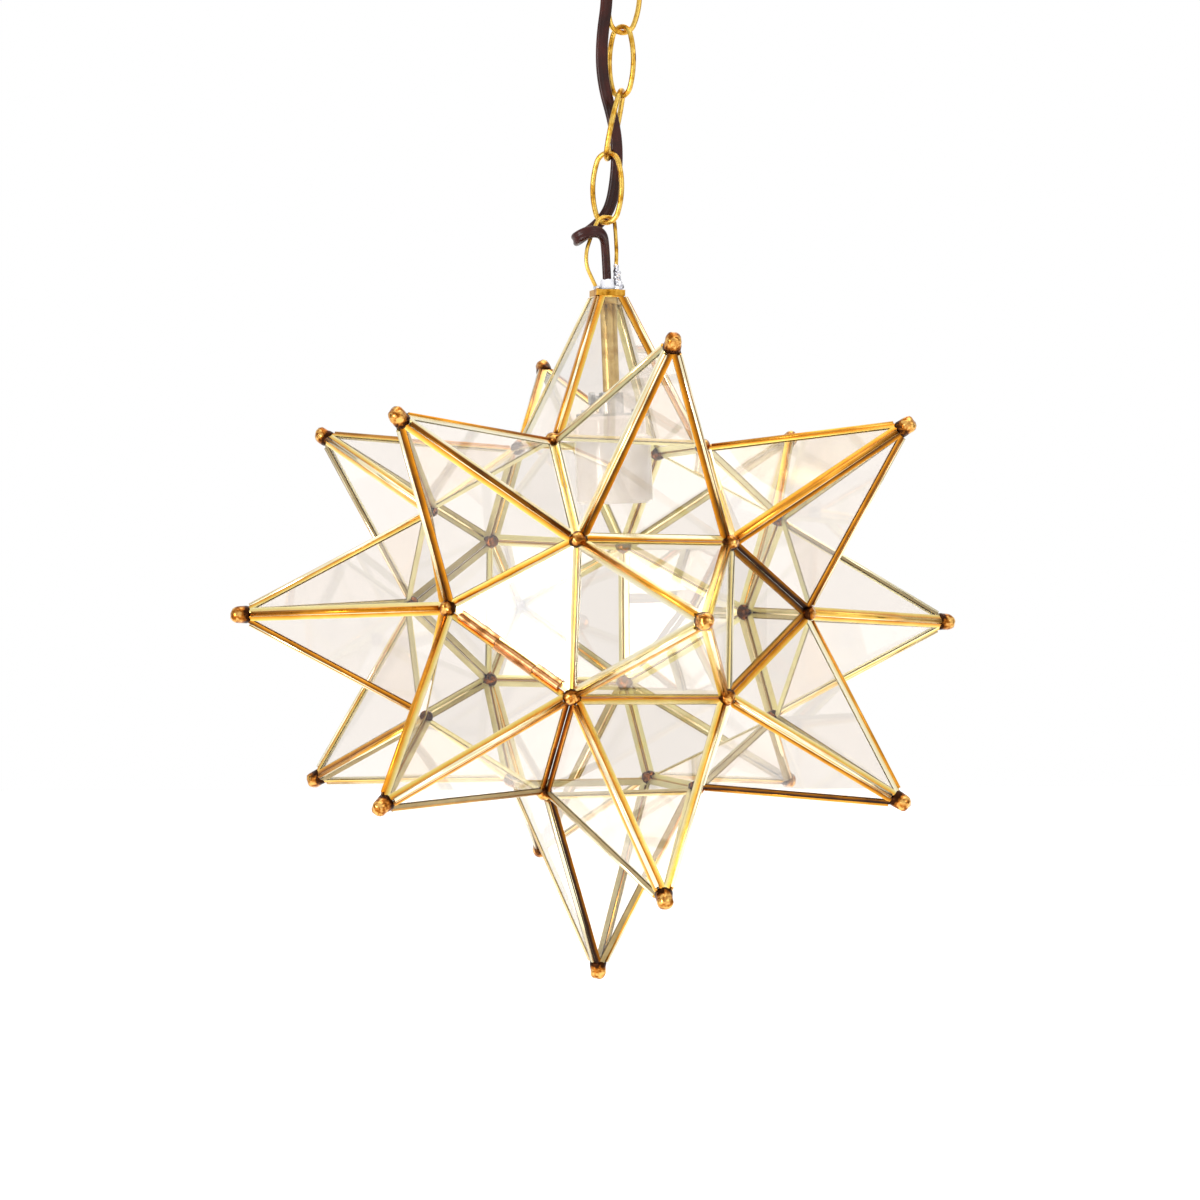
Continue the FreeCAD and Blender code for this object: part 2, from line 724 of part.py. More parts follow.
def chain_link():
    """An oval wire link about the origin in the XZ plane: two tight end arcs and two wide side arcs."""
    half_width = (LINK_WIDTH - LINK_WIRE) / 2
    half_height = (LINK_HEIGHT - LINK_WIRE) / 2
    end_centre = half_height - LINK_END_RADIUS
    side_radius = (half_width ** 2 + end_centre ** 2 - LINK_END_RADIUS ** 2) / (2 * (half_width - LINK_END_RADIUS))
    side_centre = side_radius - half_width
    side_half = math.degrees(math.atan2(end_centre, side_centre))
    end_half = QUARTER_TURN_DEG - side_half
    pieces = [
        ring_segment(V(-side_centre, 0, 0), LINK_WIRE, side_radius, -side_half, 2 * side_half),
        ring_segment(V(0, 0, end_centre), LINK_WIRE, LINK_END_RADIUS, side_half, 2 * end_half),
        ring_segment(V(side_centre, 0, 0), LINK_WIRE, side_radius, HALF_TURN_DEG - side_half,
                     2 * side_half),
        ring_segment(V(0, 0, -end_centre), LINK_WIRE, LINK_END_RADIUS, HALF_TURN_DEG + side_half,
                     2 * end_half),
    ]
    return pieces[0].fuse(pieces[1:]).removeSplitter().Solids[0]


def laid_link(index):
    """One link of the chain, between its two touching points."""
    low, high = STAR + CHAIN[index], STAR + CHAIN[index + 1]
    turn = math.radians(LINK_TURNS_DEG[index])
    width = VIEW_ACROSS * math.cos(turn) + VIEW_AWAY * math.sin(turn)
    upright = unit(high - low)
    width = unit(width - upright * width.dot(upright))
    thick = upright.cross(width)
    middle = (low + high) / 2
    place = FreeCAD.Matrix(
        width.x, thick.x, upright.x, middle.x,
        width.y, thick.y, upright.y, middle.y,
        width.z, thick.z, upright.z, middle.z,
        0, 0, 0, 1)
    link = chain_link()
    link.Placement = FreeCAD.Placement(place)
    print("link", index + 1, "low point", tuple(round(c / 1000, 6) for c in low),
          "width direction", tuple(round(c, 6) for c in width))
    return link


def build_chain():
    """Five links: the lowest, the three that the cord is woven through, and the top one."""
    save([laid_link(0)], "chain_link_bottom")
    save([laid_link(1), laid_link(2), laid_link(3)], "chain_links_woven")
    save([laid_link(4)], "chain_link_top")
    print("top pivot", tuple(round(c / 1000, 6) for c in STAR + CHAIN[-1]))


def build_bail():
    """Thin wire bail: a tall open loop that leans to the left, from one side of the plate to the other."""
    turn = math.radians(BAIL_TURN_DEG)
    sideways = V(math.cos(turn), math.sin(turn), 0)
    top = CHAIN[0].z + BAIL_WIRE / 2 + BAIL_PLAY
    foot = PLATE_TOP + BAIL_WIRE / 2
    middle = (BAIL_RIGHT_REACH - BAIL_LEFT_REACH) / 2
    half = (BAIL_LEFT_REACH + BAIL_RIGHT_REACH - BAIL_WIRE) / 2
    crown = CHAIN[0].dot(sideways)
    waist = foot + (top - foot) * BAIL_WAIST_SHARE
    shoulder = top - (top - waist) * BAIL_SHOULDER_SHARE
    hip = waist - (waist - foot) * BAIL_SHOULDER_SHARE
    outline_points = [
        (-BAIL_FOOT_REACH, foot),
        (middle - half * BAIL_HIP_SHARE, hip),
        (middle - half * BAIL_SIDE_SHARE, waist),
        ((crown + middle - half) / 2 - BAIL_WIRE, shoulder),
        (crown - BAIL_CROWN_REACH, top),
        (crown + BAIL_CROWN_REACH, top),
        ((crown + middle + half) / 2 + BAIL_WIRE, shoulder),
        (middle + half * BAIL_SIDE_SHARE, waist),
        (middle + half * BAIL_HIP_SHARE, hip),
        (BAIL_FOOT_REACH, foot),
    ]
    points = [STAR + sideways * reach + UP * rise for reach, rise in outline_points]
    solid, length, radii = tube(points, BAIL_WIRE)
    print("bail length", round(length, 1), "volume share",
          round(solid.Volume / (math.pi * BAIL_WIRE ** 2 / 4 * length), 4), [round(r, 1) for r in radii])
    save(solid.Solids, "hanging_bail")


def build_collar():
    """Square plate on the cut-off top point, with the bore for the pipe."""
    side = COLLAR_SIDE
    plate = Part.makeBox(side, side, COLLAR_THICKNESS, STAR + V(-side / 2, -side / 2, COLLAR_RISE))
    bore = cylinder(STEM_DIAMETER + 2 * STEM_PLAY, COLLAR_THICKNESS + 2 * OVERRUN,
                    STAR + V(0, 0, COLLAR_RISE - OVERRUN))
    save([plate.cut(bore)], "top_collar")


def hung(shape):
    """Hang a piece made along the Z axis, with the plate's top face at zero, on the leaning pipe."""
    lean = FreeCAD.Rotation(V(0, -1, 0), STEM_TILT_DEG)
    copy = shape.copy()
    place = FreeCAD.Placement(STAR + V(0, 0, PLATE_TOP), lean)
    copy.Placement = place.multiply(copy.Placement)
    return copy


def hex_nut(width, thickness, bore, base):
    corners = [
        V(width / math.sqrt(3) * math.cos(math.pi / 3 * i), width / math.sqrt(3) * math.sin(math.pi / 3 * i), base)
        for i in range(6)
    ]
    return prism(corners, UP, 0, thickness).cut(cylinder(bore, thickness + 2 * OVERRUN, V(0, 0, base - OVERRUN)))


def build_stem():
    """Pipe, its nut under the plate, and the bushing where the cord goes in."""
    pipe = cylinder(STEM_DIAMETER, STEM_LENGTH, V(0, 0, STEM_PROUD - STEM_LENGTH))
    pipe = pipe.cut(cylinder(STEM_BORE, STEM_LENGTH + 2 * OVERRUN, V(0, 0, STEM_PROUD - STEM_LENGTH - OVERRUN)))
    save([hung(pipe)], "stem_pipe")
    nut_base = -COLLAR_THICKNESS - STEM_PLAY - STEM_NUT_THICKNESS
    save([hung(hex_nut(STEM_NUT_WIDTH, STEM_NUT_THICKNESS, STEM_DIAMETER + 2 * SOLDER_GAP, nut_base))], "stem_nut")
    foot = STEM_PROUD + SOLDER_GAP
    bushing = revolve((
        (BUSHING_BORE / 2, foot),
        (BUSHING_DIAMETER / 2, foot),
        (BUSHING_DIAMETER / 2, foot + BUSHING_HEIGHT / 4),
        (BUSHING_TOP_DIAMETER / 2, foot + BUSHING_HEIGHT),
        (BUSHING_BORE / 2, foot + BUSHING_HEIGHT),
    ))
    save([hung(bushing)], "cord_bushing")


def holder_top():
    """Height of the top of the ceramic body, below the plate's top face, along the pipe."""
    return STEM_PROUD - STEM_LENGTH - HUB_SEAT - BRACKET_THICKNESS


def build_bracket():
    """Hub and strap that hold the ceramic body to the pipe, with the thumb screw and two small screws."""
    strap_low = holder_top()
    strap_high = strap_low + BRACKET_THICKNESS
    strap = Part.makeBox(BRACKET_LENGTH, BRACKET_WIDTH, BRACKET_THICKNESS,
                         V(-BRACKET_LENGTH / 2, -BRACKET_WIDTH / 2, strap_low))
    hub = cylinder(HUB_DIAMETER, HUB_HEIGHT, V(0, 0, strap_high))
    hub = hub.cut(cylinder(STEM_DIAMETER + 2 * SOLDER_GAP, HUB_HEIGHT, V(0, 0, strap_high + HUB_SEAT)))
    bracket = strap.fuse(hub)
    bracket = bracket.cut(cylinder(STEM_BORE, BRACKET_THICKNESS + HUB_SEAT + 2 * OVERRUN,
                                   V(0, 0, strap_low - OVERRUN)))
    screw_height = strap_high + HUB_SEAT + (HUB_HEIGHT - HUB_SEAT) / 2
    screw_start = -STEM_DIAMETER / 2 - SOLDER_GAP
    screw_bore = cylinder(SET_SCREW_DIAMETER + 2 * SOLDER_GAP, HUB_DIAMETER,
                          V(screw_start, 0, screw_height), V(-1, 0, 0))
    bracket = bracket.cut(screw_bore)
    for side in (-1, 1):
        place = V(side * BRACKET_SCREW_SPACING / 2, 0, strap_low - OVERRUN)
        bracket = bracket.cut(cylinder(BRACKET_SCREW_DIAMETER + 2 * SOLDER_GAP,
                                       BRACKET_THICKNESS + 2 * OVERRUN, place))
    save([hung(bracket.removeSplitter())], "holder_bracket")
    shank = cylinder(SET_SCREW_DIAMETER, SET_SCREW_LENGTH, V(screw_start - SOLDER_GAP, 0, screw_height), V(-1, 0, 0))
    head_start = screw_start - SOLDER_GAP - SET_SCREW_LENGTH
    head = cylinder(SET_SCREW_HEAD, SET_SCREW_HEAD_THICKNESS, V(head_start, 0, screw_height), V(-1, 0, 0))
    save([hung(shank.fuse(head).removeSplitter())], "holder_thumb_screw")
    screws = []
    for side in (-1, 1):
        place = V(side * BRACKET_SCREW_SPACING / 2, 0, strap_high)
        head = cylinder(BRACKET_SCREW_HEAD, BRACKET_SCREW_HEAD_HEIGHT, place)
        shank = cylinder(BRACKET_SCREW_DIAMETER, BRACKET_THICKNESS + BRACKET_SCREW_DEPTH,
                         place - V(0, 0, BRACKET_THICKNESS + BRACKET_SCREW_DEPTH))
        screws.append(hung(head.fuse(shank).removeSplitter()))
    save(screws, "holder_screws")


def build_socket():
    """Glazed ceramic body with the screw shell and the contact in its recess."""
    top = holder_top()
    bottom = top - SOCKET_HEIGHT
    recess = SHELL_INNER_DIAMETER / 2 + SHELL_WALL + SOLDER_GAP
    floor = bottom + SHELL_RECESS + SHELL_LENGTH + CONTACT_THICKNESS + SOLDER_GAP
    flange = recess + SHELL_FLANGE
    body = revolve((
        (STEM_BORE / 2, top),
        (SOCKET_NECK_DIAMETER / 2 - SOCKET_ROUND, top),
        (SOCKET_NECK_DIAMETER / 2, top - SOCKET_ROUND),
        (SOCKET_NECK_DIAMETER / 2, top - SOCKET_NECK_HEIGHT),
        (SOCKET_DIAMETER / 2, top - SOCKET_NECK_HEIGHT - SOCKET_ROUND),
        (SOCKET_DIAMETER / 2, bottom + SOCKET_ROUND),
        (SOCKET_DIAMETER / 2 - SOCKET_ROUND, bottom),
        (flange + SOLDER_GAP, bottom),
        (recess, bottom + SHELL_RECESS),
        (recess, floor),
        (STEM_BORE / 2, floor),
    ))
    for side in (-1, 1):
        place = V(side * BRACKET_SCREW_SPACING / 2, 0, top - BRACKET_SCREW_DEPTH - SOLDER_GAP)
        body = body.cut(cylinder(BRACKET_SCREW_DIAMETER + 2 * SOLDER_GAP, BRACKET_SCREW_DEPTH + OVERRUN, place))
    save([hung(body)], "socket_body")
    inner = SHELL_INNER_DIAMETER / 2
    shell = revolve((
        (inner, bottom + SHELL_RECESS),
        (inner + SHELL_WALL, bottom + SHELL_RECESS),
        (inner + SHELL_WALL, floor - SOLDER_GAP),
        (inner, floor - SOLDER_GAP),
    ))
    save([hung(shell)], "socket_shell")
    plate = cylinder(CONTACT_DIAMETER, CONTACT_THICKNESS, V(0, 0, floor - SOLDER_GAP - CONTACT_THICKNESS))
    save([hung(plate)], "socket_contact")


def build_canopy():
    """Spun ceiling pan with the hole for its nipple."""
    radius = CANOPY_DIAMETER / 2
    wall = CANOPY_WALL
    boss = CANOPY_BOSS_DIAMETER / 2
    hole = NIPPLE_DIAMETER / 2 + NIPPLE_PLAY
    outer_start, outer_end = V(radius, 0, -CANOPY_RIM_HEIGHT), V(boss, 0, -CANOPY_DEPTH)
    bow = math.radians(45)
    outer_middle = V(boss + (radius - boss) * math.sin(bow), 0,
                     -CANOPY_RIM_HEIGHT - (CANOPY_DEPTH - CANOPY_RIM_HEIGHT) * math.cos(bow))
    inner_start, inner_end = V(radius - wall, 0, -CANOPY_RIM_HEIGHT), V(boss, 0, -CANOPY_DEPTH + wall)
    inner_middle = outer_middle + V(-wall * math.sin(bow), 0, wall * math.cos(bow))
    edges = [
        Part.LineSegment(V(radius, 0, 0), outer_start).toShape(),
        Part.Arc(outer_start, outer_middle, outer_end).toShape(),
        Part.LineSegment(outer_end, V(hole, 0, -CANOPY_DEPTH)).toShape(),
        Part.LineSegment(V(hole, 0, -CANOPY_DEPTH), V(hole, 0, -CANOPY_DEPTH + wall)).toShape(),
        Part.LineSegment(V(hole, 0, -CANOPY_DEPTH + wall), inner_end).toShape(),
        Part.Arc(inner_end, inner_middle, inner_start).toShape(),
        Part.LineSegment(inner_start, V(radius - wall, 0, 0)).toShape(),
        Part.LineSegment(V(radius - wall, 0, 0), V(radius, 0, 0)).toShape(),
    ]
    pan = Part.Face(Part.Wire(edges)).revolve(V(0, 0, 0), UP, 360)
    save([pan], "canopy")


def build_loop():
    """Cast loop under the pan that carries the chain and lets the cord in."""
    neck_top = -CANOPY_DEPTH - LOOP_COLLAR_HEIGHT
    neck_low = -CANOPY_DEPTH - LOOP_NECK_HEIGHT
    loop_centre = V(0, 0, neck_low - LOOP_RADIUS)
    ring = Part.makeTorus(LOOP_RADIUS, LOOP_WIRE / 2, loop_centre, V(0, 1, 0))
    neck = cylinder(LOOP_NECK_DIAMETER, LOOP_NECK_HEIGHT + LOOP_WIRE / 2 - SOLDER_GAP,
                    V(0, 0, neck_low - LOOP_WIRE / 2))
    collar = cylinder(LOOP_COLLAR_DIAMETER, LOOP_COLLAR_HEIGHT - SOLDER_GAP, V(0, 0, neck_top))
    loop = ring.fuse([neck, collar])
    loop = loop.cut(cylinder(NIPPLE_DIAMETER + 2 * NIPPLE_PLAY, LOOP_COLLAR_HEIGHT + OVERRUN, V(0, 0, neck_top)))
    loop = loop.cut(cylinder(NIPPLE_BORE, LOOP_NECK_HEIGHT + LOOP_WIRE + OVERRUN,
                             V(0, 0, neck_low - LOOP_WIRE / 2 - OVERRUN)))
    save([loop.removeSplitter().Solids[0]], "canopy_loop")


def build_nipple():
    """Hollow nipple from the loop up to the strap, and its two nuts."""
    nipple_low = SOLDER_GAP - CANOPY_DEPTH - LOOP_COLLAR_HEIGHT
    nipple_high = -STRAP_THICKNESS - LOCKNUT_THICKNESS - SOLDER_GAP + NIPPLE_PROUD
    nipple_high = min(nipple_high, -STRAP_THICKNESS / 2)
    nipple = cylinder(NIPPLE_DIAMETER, nipple_high - nipple_low, V(0, 0, nipple_low))
    nipple = nipple.cut(cylinder(NIPPLE_BORE, nipple_high - nipple_low + 2 * OVERRUN,
                                 V(0, 0, nipple_low - OVERRUN)))
    save([nipple], "canopy_nipple")
    nut_heights = (
        -STRAP_THICKNESS - SOLDER_GAP - LOCKNUT_THICKNESS,
        -CANOPY_DEPTH + CANOPY_WALL + SOLDER_GAP,
    )
    save([hex_nut(LOCKNUT_WIDTH, LOCKNUT_THICKNESS, NIPPLE_DIAMETER + 2 * SOLDER_GAP, height)
          for height in nut_heights], "canopy_locknuts")


def build_strap():
    """Strap that two screws hold to the ceiling box, with a slot for each."""
    strap = Part.makeBox(STRAP_LENGTH, STRAP_WIDTH, STRAP_THICKNESS,
                         V(-STRAP_LENGTH / 2, -STRAP_WIDTH / 2, -STRAP_THICKNESS))
    strap = strap.cut(cylinder(NIPPLE_DIAMETER + 2 * NIPPLE_PLAY, STRAP_THICKNESS + 2 * OVERRUN,
                               V(0, 0, -STRAP_THICKNESS - OVERRUN)))
    for side in (-1, 1):
        middle = side * SLOT_SPACING / 2
        straight = SLOT_LENGTH - SLOT_WIDTH
        slot = Part.makeBox(straight, SLOT_WIDTH, STRAP_THICKNESS + 2 * OVERRUN,
                            V(middle - straight / 2, -SLOT_WIDTH / 2, -STRAP_THICKNESS - OVERRUN))
        for end in (-1, 1):
            slot = slot.fuse(cylinder(SLOT_WIDTH, STRAP_THICKNESS + 2 * OVERRUN,
                                      V(middle + end * straight / 2, 0, -STRAP_THICKNESS - OVERRUN)))
        strap = strap.cut(slot.removeSplitter())
    save([strap], "mounting_strap")


star_panels_list, shared_edges = build_star()
build_hinge(star_panels_list, shared_edges)
build_collar()
build_bail()
build_stem()
build_bracket()
build_socket()
build_chain()
build_cord()
build_canopy()
build_loop()
build_nipple()
build_strap()
print("star drop", round(STAR_DROP, 2))
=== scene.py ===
"""Looks of a hanging glass star lamp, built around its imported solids.

Everything is in metres in the lamp's own frame: the origin is in the ceiling plane, +Z is up and the
front point of the star looks along -Y.
"""

import json
import logging
import math
from collections.abc import Iterable
from dataclasses import dataclass, field
from enum import Enum
from itertools import combinations

import bmesh
import bpy
from mathutils import Matrix, Vector, noise
from mathutils.bvhtree import BVHTree
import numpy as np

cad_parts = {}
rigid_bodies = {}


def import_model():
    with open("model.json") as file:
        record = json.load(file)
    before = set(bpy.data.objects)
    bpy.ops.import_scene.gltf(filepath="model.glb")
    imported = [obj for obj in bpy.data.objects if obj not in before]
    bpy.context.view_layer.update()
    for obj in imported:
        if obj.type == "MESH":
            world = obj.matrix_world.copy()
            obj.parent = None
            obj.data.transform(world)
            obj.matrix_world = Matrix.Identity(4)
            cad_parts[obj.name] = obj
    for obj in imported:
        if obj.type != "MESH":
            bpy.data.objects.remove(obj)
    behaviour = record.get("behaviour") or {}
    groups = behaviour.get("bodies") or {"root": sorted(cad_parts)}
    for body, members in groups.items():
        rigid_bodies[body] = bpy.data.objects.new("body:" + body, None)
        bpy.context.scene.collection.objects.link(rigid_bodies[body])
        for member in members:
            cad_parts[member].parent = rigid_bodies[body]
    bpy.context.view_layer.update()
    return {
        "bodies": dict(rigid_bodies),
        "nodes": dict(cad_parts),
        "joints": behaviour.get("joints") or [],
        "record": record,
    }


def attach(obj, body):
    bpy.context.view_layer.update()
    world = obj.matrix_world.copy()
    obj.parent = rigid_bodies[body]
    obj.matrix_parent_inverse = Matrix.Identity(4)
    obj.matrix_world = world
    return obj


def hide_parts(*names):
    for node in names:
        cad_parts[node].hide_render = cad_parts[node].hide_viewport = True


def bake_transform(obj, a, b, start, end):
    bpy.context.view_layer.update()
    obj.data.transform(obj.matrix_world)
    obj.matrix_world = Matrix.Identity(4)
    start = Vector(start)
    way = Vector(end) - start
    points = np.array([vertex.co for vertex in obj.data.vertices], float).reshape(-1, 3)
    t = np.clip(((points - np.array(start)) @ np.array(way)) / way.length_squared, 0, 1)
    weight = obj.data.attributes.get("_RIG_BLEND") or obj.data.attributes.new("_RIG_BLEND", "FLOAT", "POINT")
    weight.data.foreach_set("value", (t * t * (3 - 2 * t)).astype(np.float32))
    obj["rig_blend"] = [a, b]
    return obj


LOG = logging.getLogger("star_lamp")

MM = 0.001
STAR_CENTRE = Vector((0.0, 0.0, -0.41918))
UP = Vector((0.0, 0.0, 1.0))
FRONT = Vector((0.0, -1.0, 0.0))
RIGHT = Vector((1.0, 0.0, 0.0))


# ---- small helpers


def linear(hex_code: str) -> tuple[float, float, float, float]:
    """Turn an sRGB hex colour into linear red, green, blue and a full alpha.

    Args:
        hex_code: Six hex digits, with or without a leading hash.

    Returns:
        The colour as Blender's shader sockets take it.
    """
    digits = hex_code.lstrip("#")
    channels = [int(digits[i:i + 2], 16) / 255 for i in (0, 2, 4)]
    red, green, blue = (c / 12.92 if c <= 0.04045 else ((c + 0.055) / 1.055) ** 2.4 for c in channels)
    return red, green, blue, 1.0


def add_node(tree: bpy.types.NodeTree, kind: str, inputs: dict | None = None, **settings: object) -> bpy.types.Node:
    """Add a node with its settings, socket values and links.

    Args:
        tree: The node tree that gets the node.
        kind: The node's type name.
        inputs: Socket name or number to a value, or to the output socket that feeds it.
        **settings: Attributes of the node itself.

    Returns:
        The new node.
    """
    node = tree.nodes.new(kind)
    for name, value in settings.items():
        setattr(node, name, value)
    for socket, value in (inputs or {}).items():
        if isinstance(value, bpy.types.NodeSocket):
            tree.links.new(value, node.inputs[socket])
        else:
            node.inputs[socket].default_value = value
    return node


def ramp(tree: bpy.types.NodeTree, source: bpy.types.NodeSocket,
         stops: list[tuple[float, str]]) -> bpy.types.NodeSocket:
    """Turn a value into a colour through a ramp.

    Args:
        tree: The node tree.
        source: The value.
        stops: Positions from 0 to 1 with their hex colours, in order.

    Returns:
        The ramp's colour output.
    """
    node = add_node(tree, "ShaderNodeValToRGB", {"Fac": source})
    elements = node.color_ramp.elements
    elements[0].position, elements[0].color = stops[0][0], linear(stops[0][1])
    elements[1].position, elements[1].color = stops[-1][0], linear(stops[-1][1])
    for position, colour in stops[1:-1]:
        element = elements.new(position)
        element.color = linear(colour)
    return node.outputs["Color"]


def new_material(name: str) -> tuple[bpy.types.Material, bpy.types.NodeTree, bpy.types.Node]:
    """Make a material with an empty tree and its output.

    Args:
        name: The material's name.

    Returns:
        The material, its tree and its output node.
    """
    material = bpy.data.materials.new(name)
    material.use_nodes = True
    tree = material.node_tree
    tree.nodes.clear()
    return material, tree, add_node(tree, "ShaderNodeOutputMaterial")


def object_from(name: str, mesh: bmesh.types.BMesh, material: bpy.types.Material, body: str,
                replaced: tuple[str, ...] = (), smooth: bool = True) -> bpy.types.Object:
    """Turn a bmesh into a finished piece of the lamp.

    Args:
        name: The piece's name.
        mesh: Its shape, in the lamp's frame. It is freed.
        material: Its finish.
        body: The moving body that it belongs to.
        replaced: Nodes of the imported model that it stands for.
        smooth: Whether its faces are shaded smooth.

    Returns:
        The new object.
    """
    data = bpy.data.meshes.new(name)
    for face in mesh.faces:
        face.smooth = smooth
    mesh.to_mesh(data)
    mesh.free()
    data.materials.append(material)
    piece = bpy.data.objects.new(name, data)
    bpy.context.scene.collection.objects.link(piece)
    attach(piece, body)
    if replaced:
        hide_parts(*replaced)
    LOG.info("piece %s: %d faces, rides on %s", name, len(data.polygons), body)
    return piece


def add_modifier(piece: bpy.types.Object, kind: str, **settings: object) -> bpy.types.Modifier:
    """Add a modifier with its settings to a piece."""
    modifier = piece.modifiers.new(kind.title(), kind)
    for name, value in settings.items():
        setattr(modifier, name, value)
    return modifier


def merged_copy(node: str) -> bmesh.types.BMesh:
    """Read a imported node's triangles into one clean bmesh of flat faces.

    Args:
        node: The node's name.

    Returns:
        The merged shape with its coplanar triangles joined.
    """
    shape = bmesh.new()
    shape.from_mesh(bpy.data.objects[node].data)
    bmesh.ops.remove_doubles(shape, verts=shape.verts, dist=0.004 * MM)
    bmesh.ops.dissolve_limit(shape, angle_limit=math.radians(1.0), verts=shape.verts, edges=shape.edges)
    return shape


def islands(shape: bmesh.types.BMesh) -> list[list[bmesh.types.BMVert]]:
    """Sort a bmesh's points into groups that hang together.

    Args:
        shape: The bmesh.

    Returns:
        One list of points for each separate solid, in a fixed order.
    """
    seen: set[bmesh.types.BMVert] = set()
    groups = []
    for first in shape.verts:
        if first in seen:
            continue
        seen.add(first)
        group, waiting = [], [first]
        while waiting:
            vert = waiting.pop()
            group.append(vert)
            for edge in vert.link_edges:
                other = edge.other_vert(vert)
                if other not in seen:
                    seen.add(other)
                    waiting.append(other)
        groups.append(group)
    return groups


def middle_of(verts: Iterable[bmesh.types.BMVert]) -> Vector:
    """Return the mean place of some points."""
    places = [vert.co for vert in verts]
    return sum(places, Vector()) / len(places)


def roughen(verts: list[bmesh.types.BMVert], centre: Vector, depth: float, patch: float, seed: float) -> None:
    """Push points in and out from a centre by smooth noise, as solder does when it sets.

    Args:
        verts: The points.
        centre: What they move to and from.
        depth: The largest move.
        patch: The size of a lump.
        seed: A number that makes each piece of solder different.
    """
    shift = Vector((seed * 3.1, seed * 7.7, seed * 1.3))
    for vert in verts:
        away = vert.co - centre
        if away.length > 0:
            vert.co += away.normalized() * depth * noise.noise(vert.co / patch + shift)


# ---- finishes


@dataclass(frozen=True)
class MetalFinish:
    """Plain wrought metal: drawn wire, spun sheet, tube, or plated steel.

    Drawing or spinning leaves a fine grain, and handling leaves soft patches that are a little darker and
    duller than the polish between them.
    """

    name: str
    polished: str = "#F4DC94"
    body: str = "#E2B552"
    tarnish: str = "#A8701F"
    patch_mm: float = 9.0
    grain_mm: float = 0.45
    roughness: float = 0.2
    roughness_spread: float = 0.14
    bump_mm: float = 0.012

    def build(self) -> bpy.types.Material:
        """Make the node material."""
        material, tree, output = new_material(self.name)
        place = add_node(tree, "ShaderNodeTexCoord").outputs["Object"]
        patches = add_node(tree, "ShaderNodeTexNoise", {
            "Vector": place, "Scale": 1 / (self.patch_mm * MM), "Detail": 3.0, "Roughness": 0.55})
        grain = add_node(tree, "ShaderNodeTexNoise", {
            "Vector": place, "Scale": 1 / (self.grain_mm * MM), "Detail": 4.0, "Roughness": 0.6})
        fine = add_node(tree, "ShaderNodeMath", {0: grain.outputs["Fac"], 1: 0.14}, operation="MULTIPLY")
        wear = add_node(tree, "ShaderNodeMath", {0: patches.outputs["Fac"], 1: 0.86, 2: fine.outputs[0]},
                        operation="MULTIPLY_ADD")
        colour = ramp(tree, wear.outputs[0], [
            (0.32, self.tarnish), (0.43, self.body), (0.55, self.polished), (0.74, self.body)])
        rough = add_node(tree, "ShaderNodeMapRange", {
            "Value": patches.outputs["Fac"], "From Min": 0.3, "From Max": 0.7,
            "To Min": self.roughness + self.roughness_spread, "To Max": self.roughness})
        bump = add_node(tree, "ShaderNodeBump", {
            "Height": grain.outputs["Fac"], "Distance": self.bump_mm * MM, "Strength": 0.6})
        shader = add_node(tree, "ShaderNodeBsdfPrincipled", {
            "Base Color": colour, "Metallic": 1.0, "Roughness": rough.outputs["Result"],
            "Normal": bump.outputs["Normal"]})
        tree.links.new(shader.outputs[0], output.inputs["Surface"])
        return material


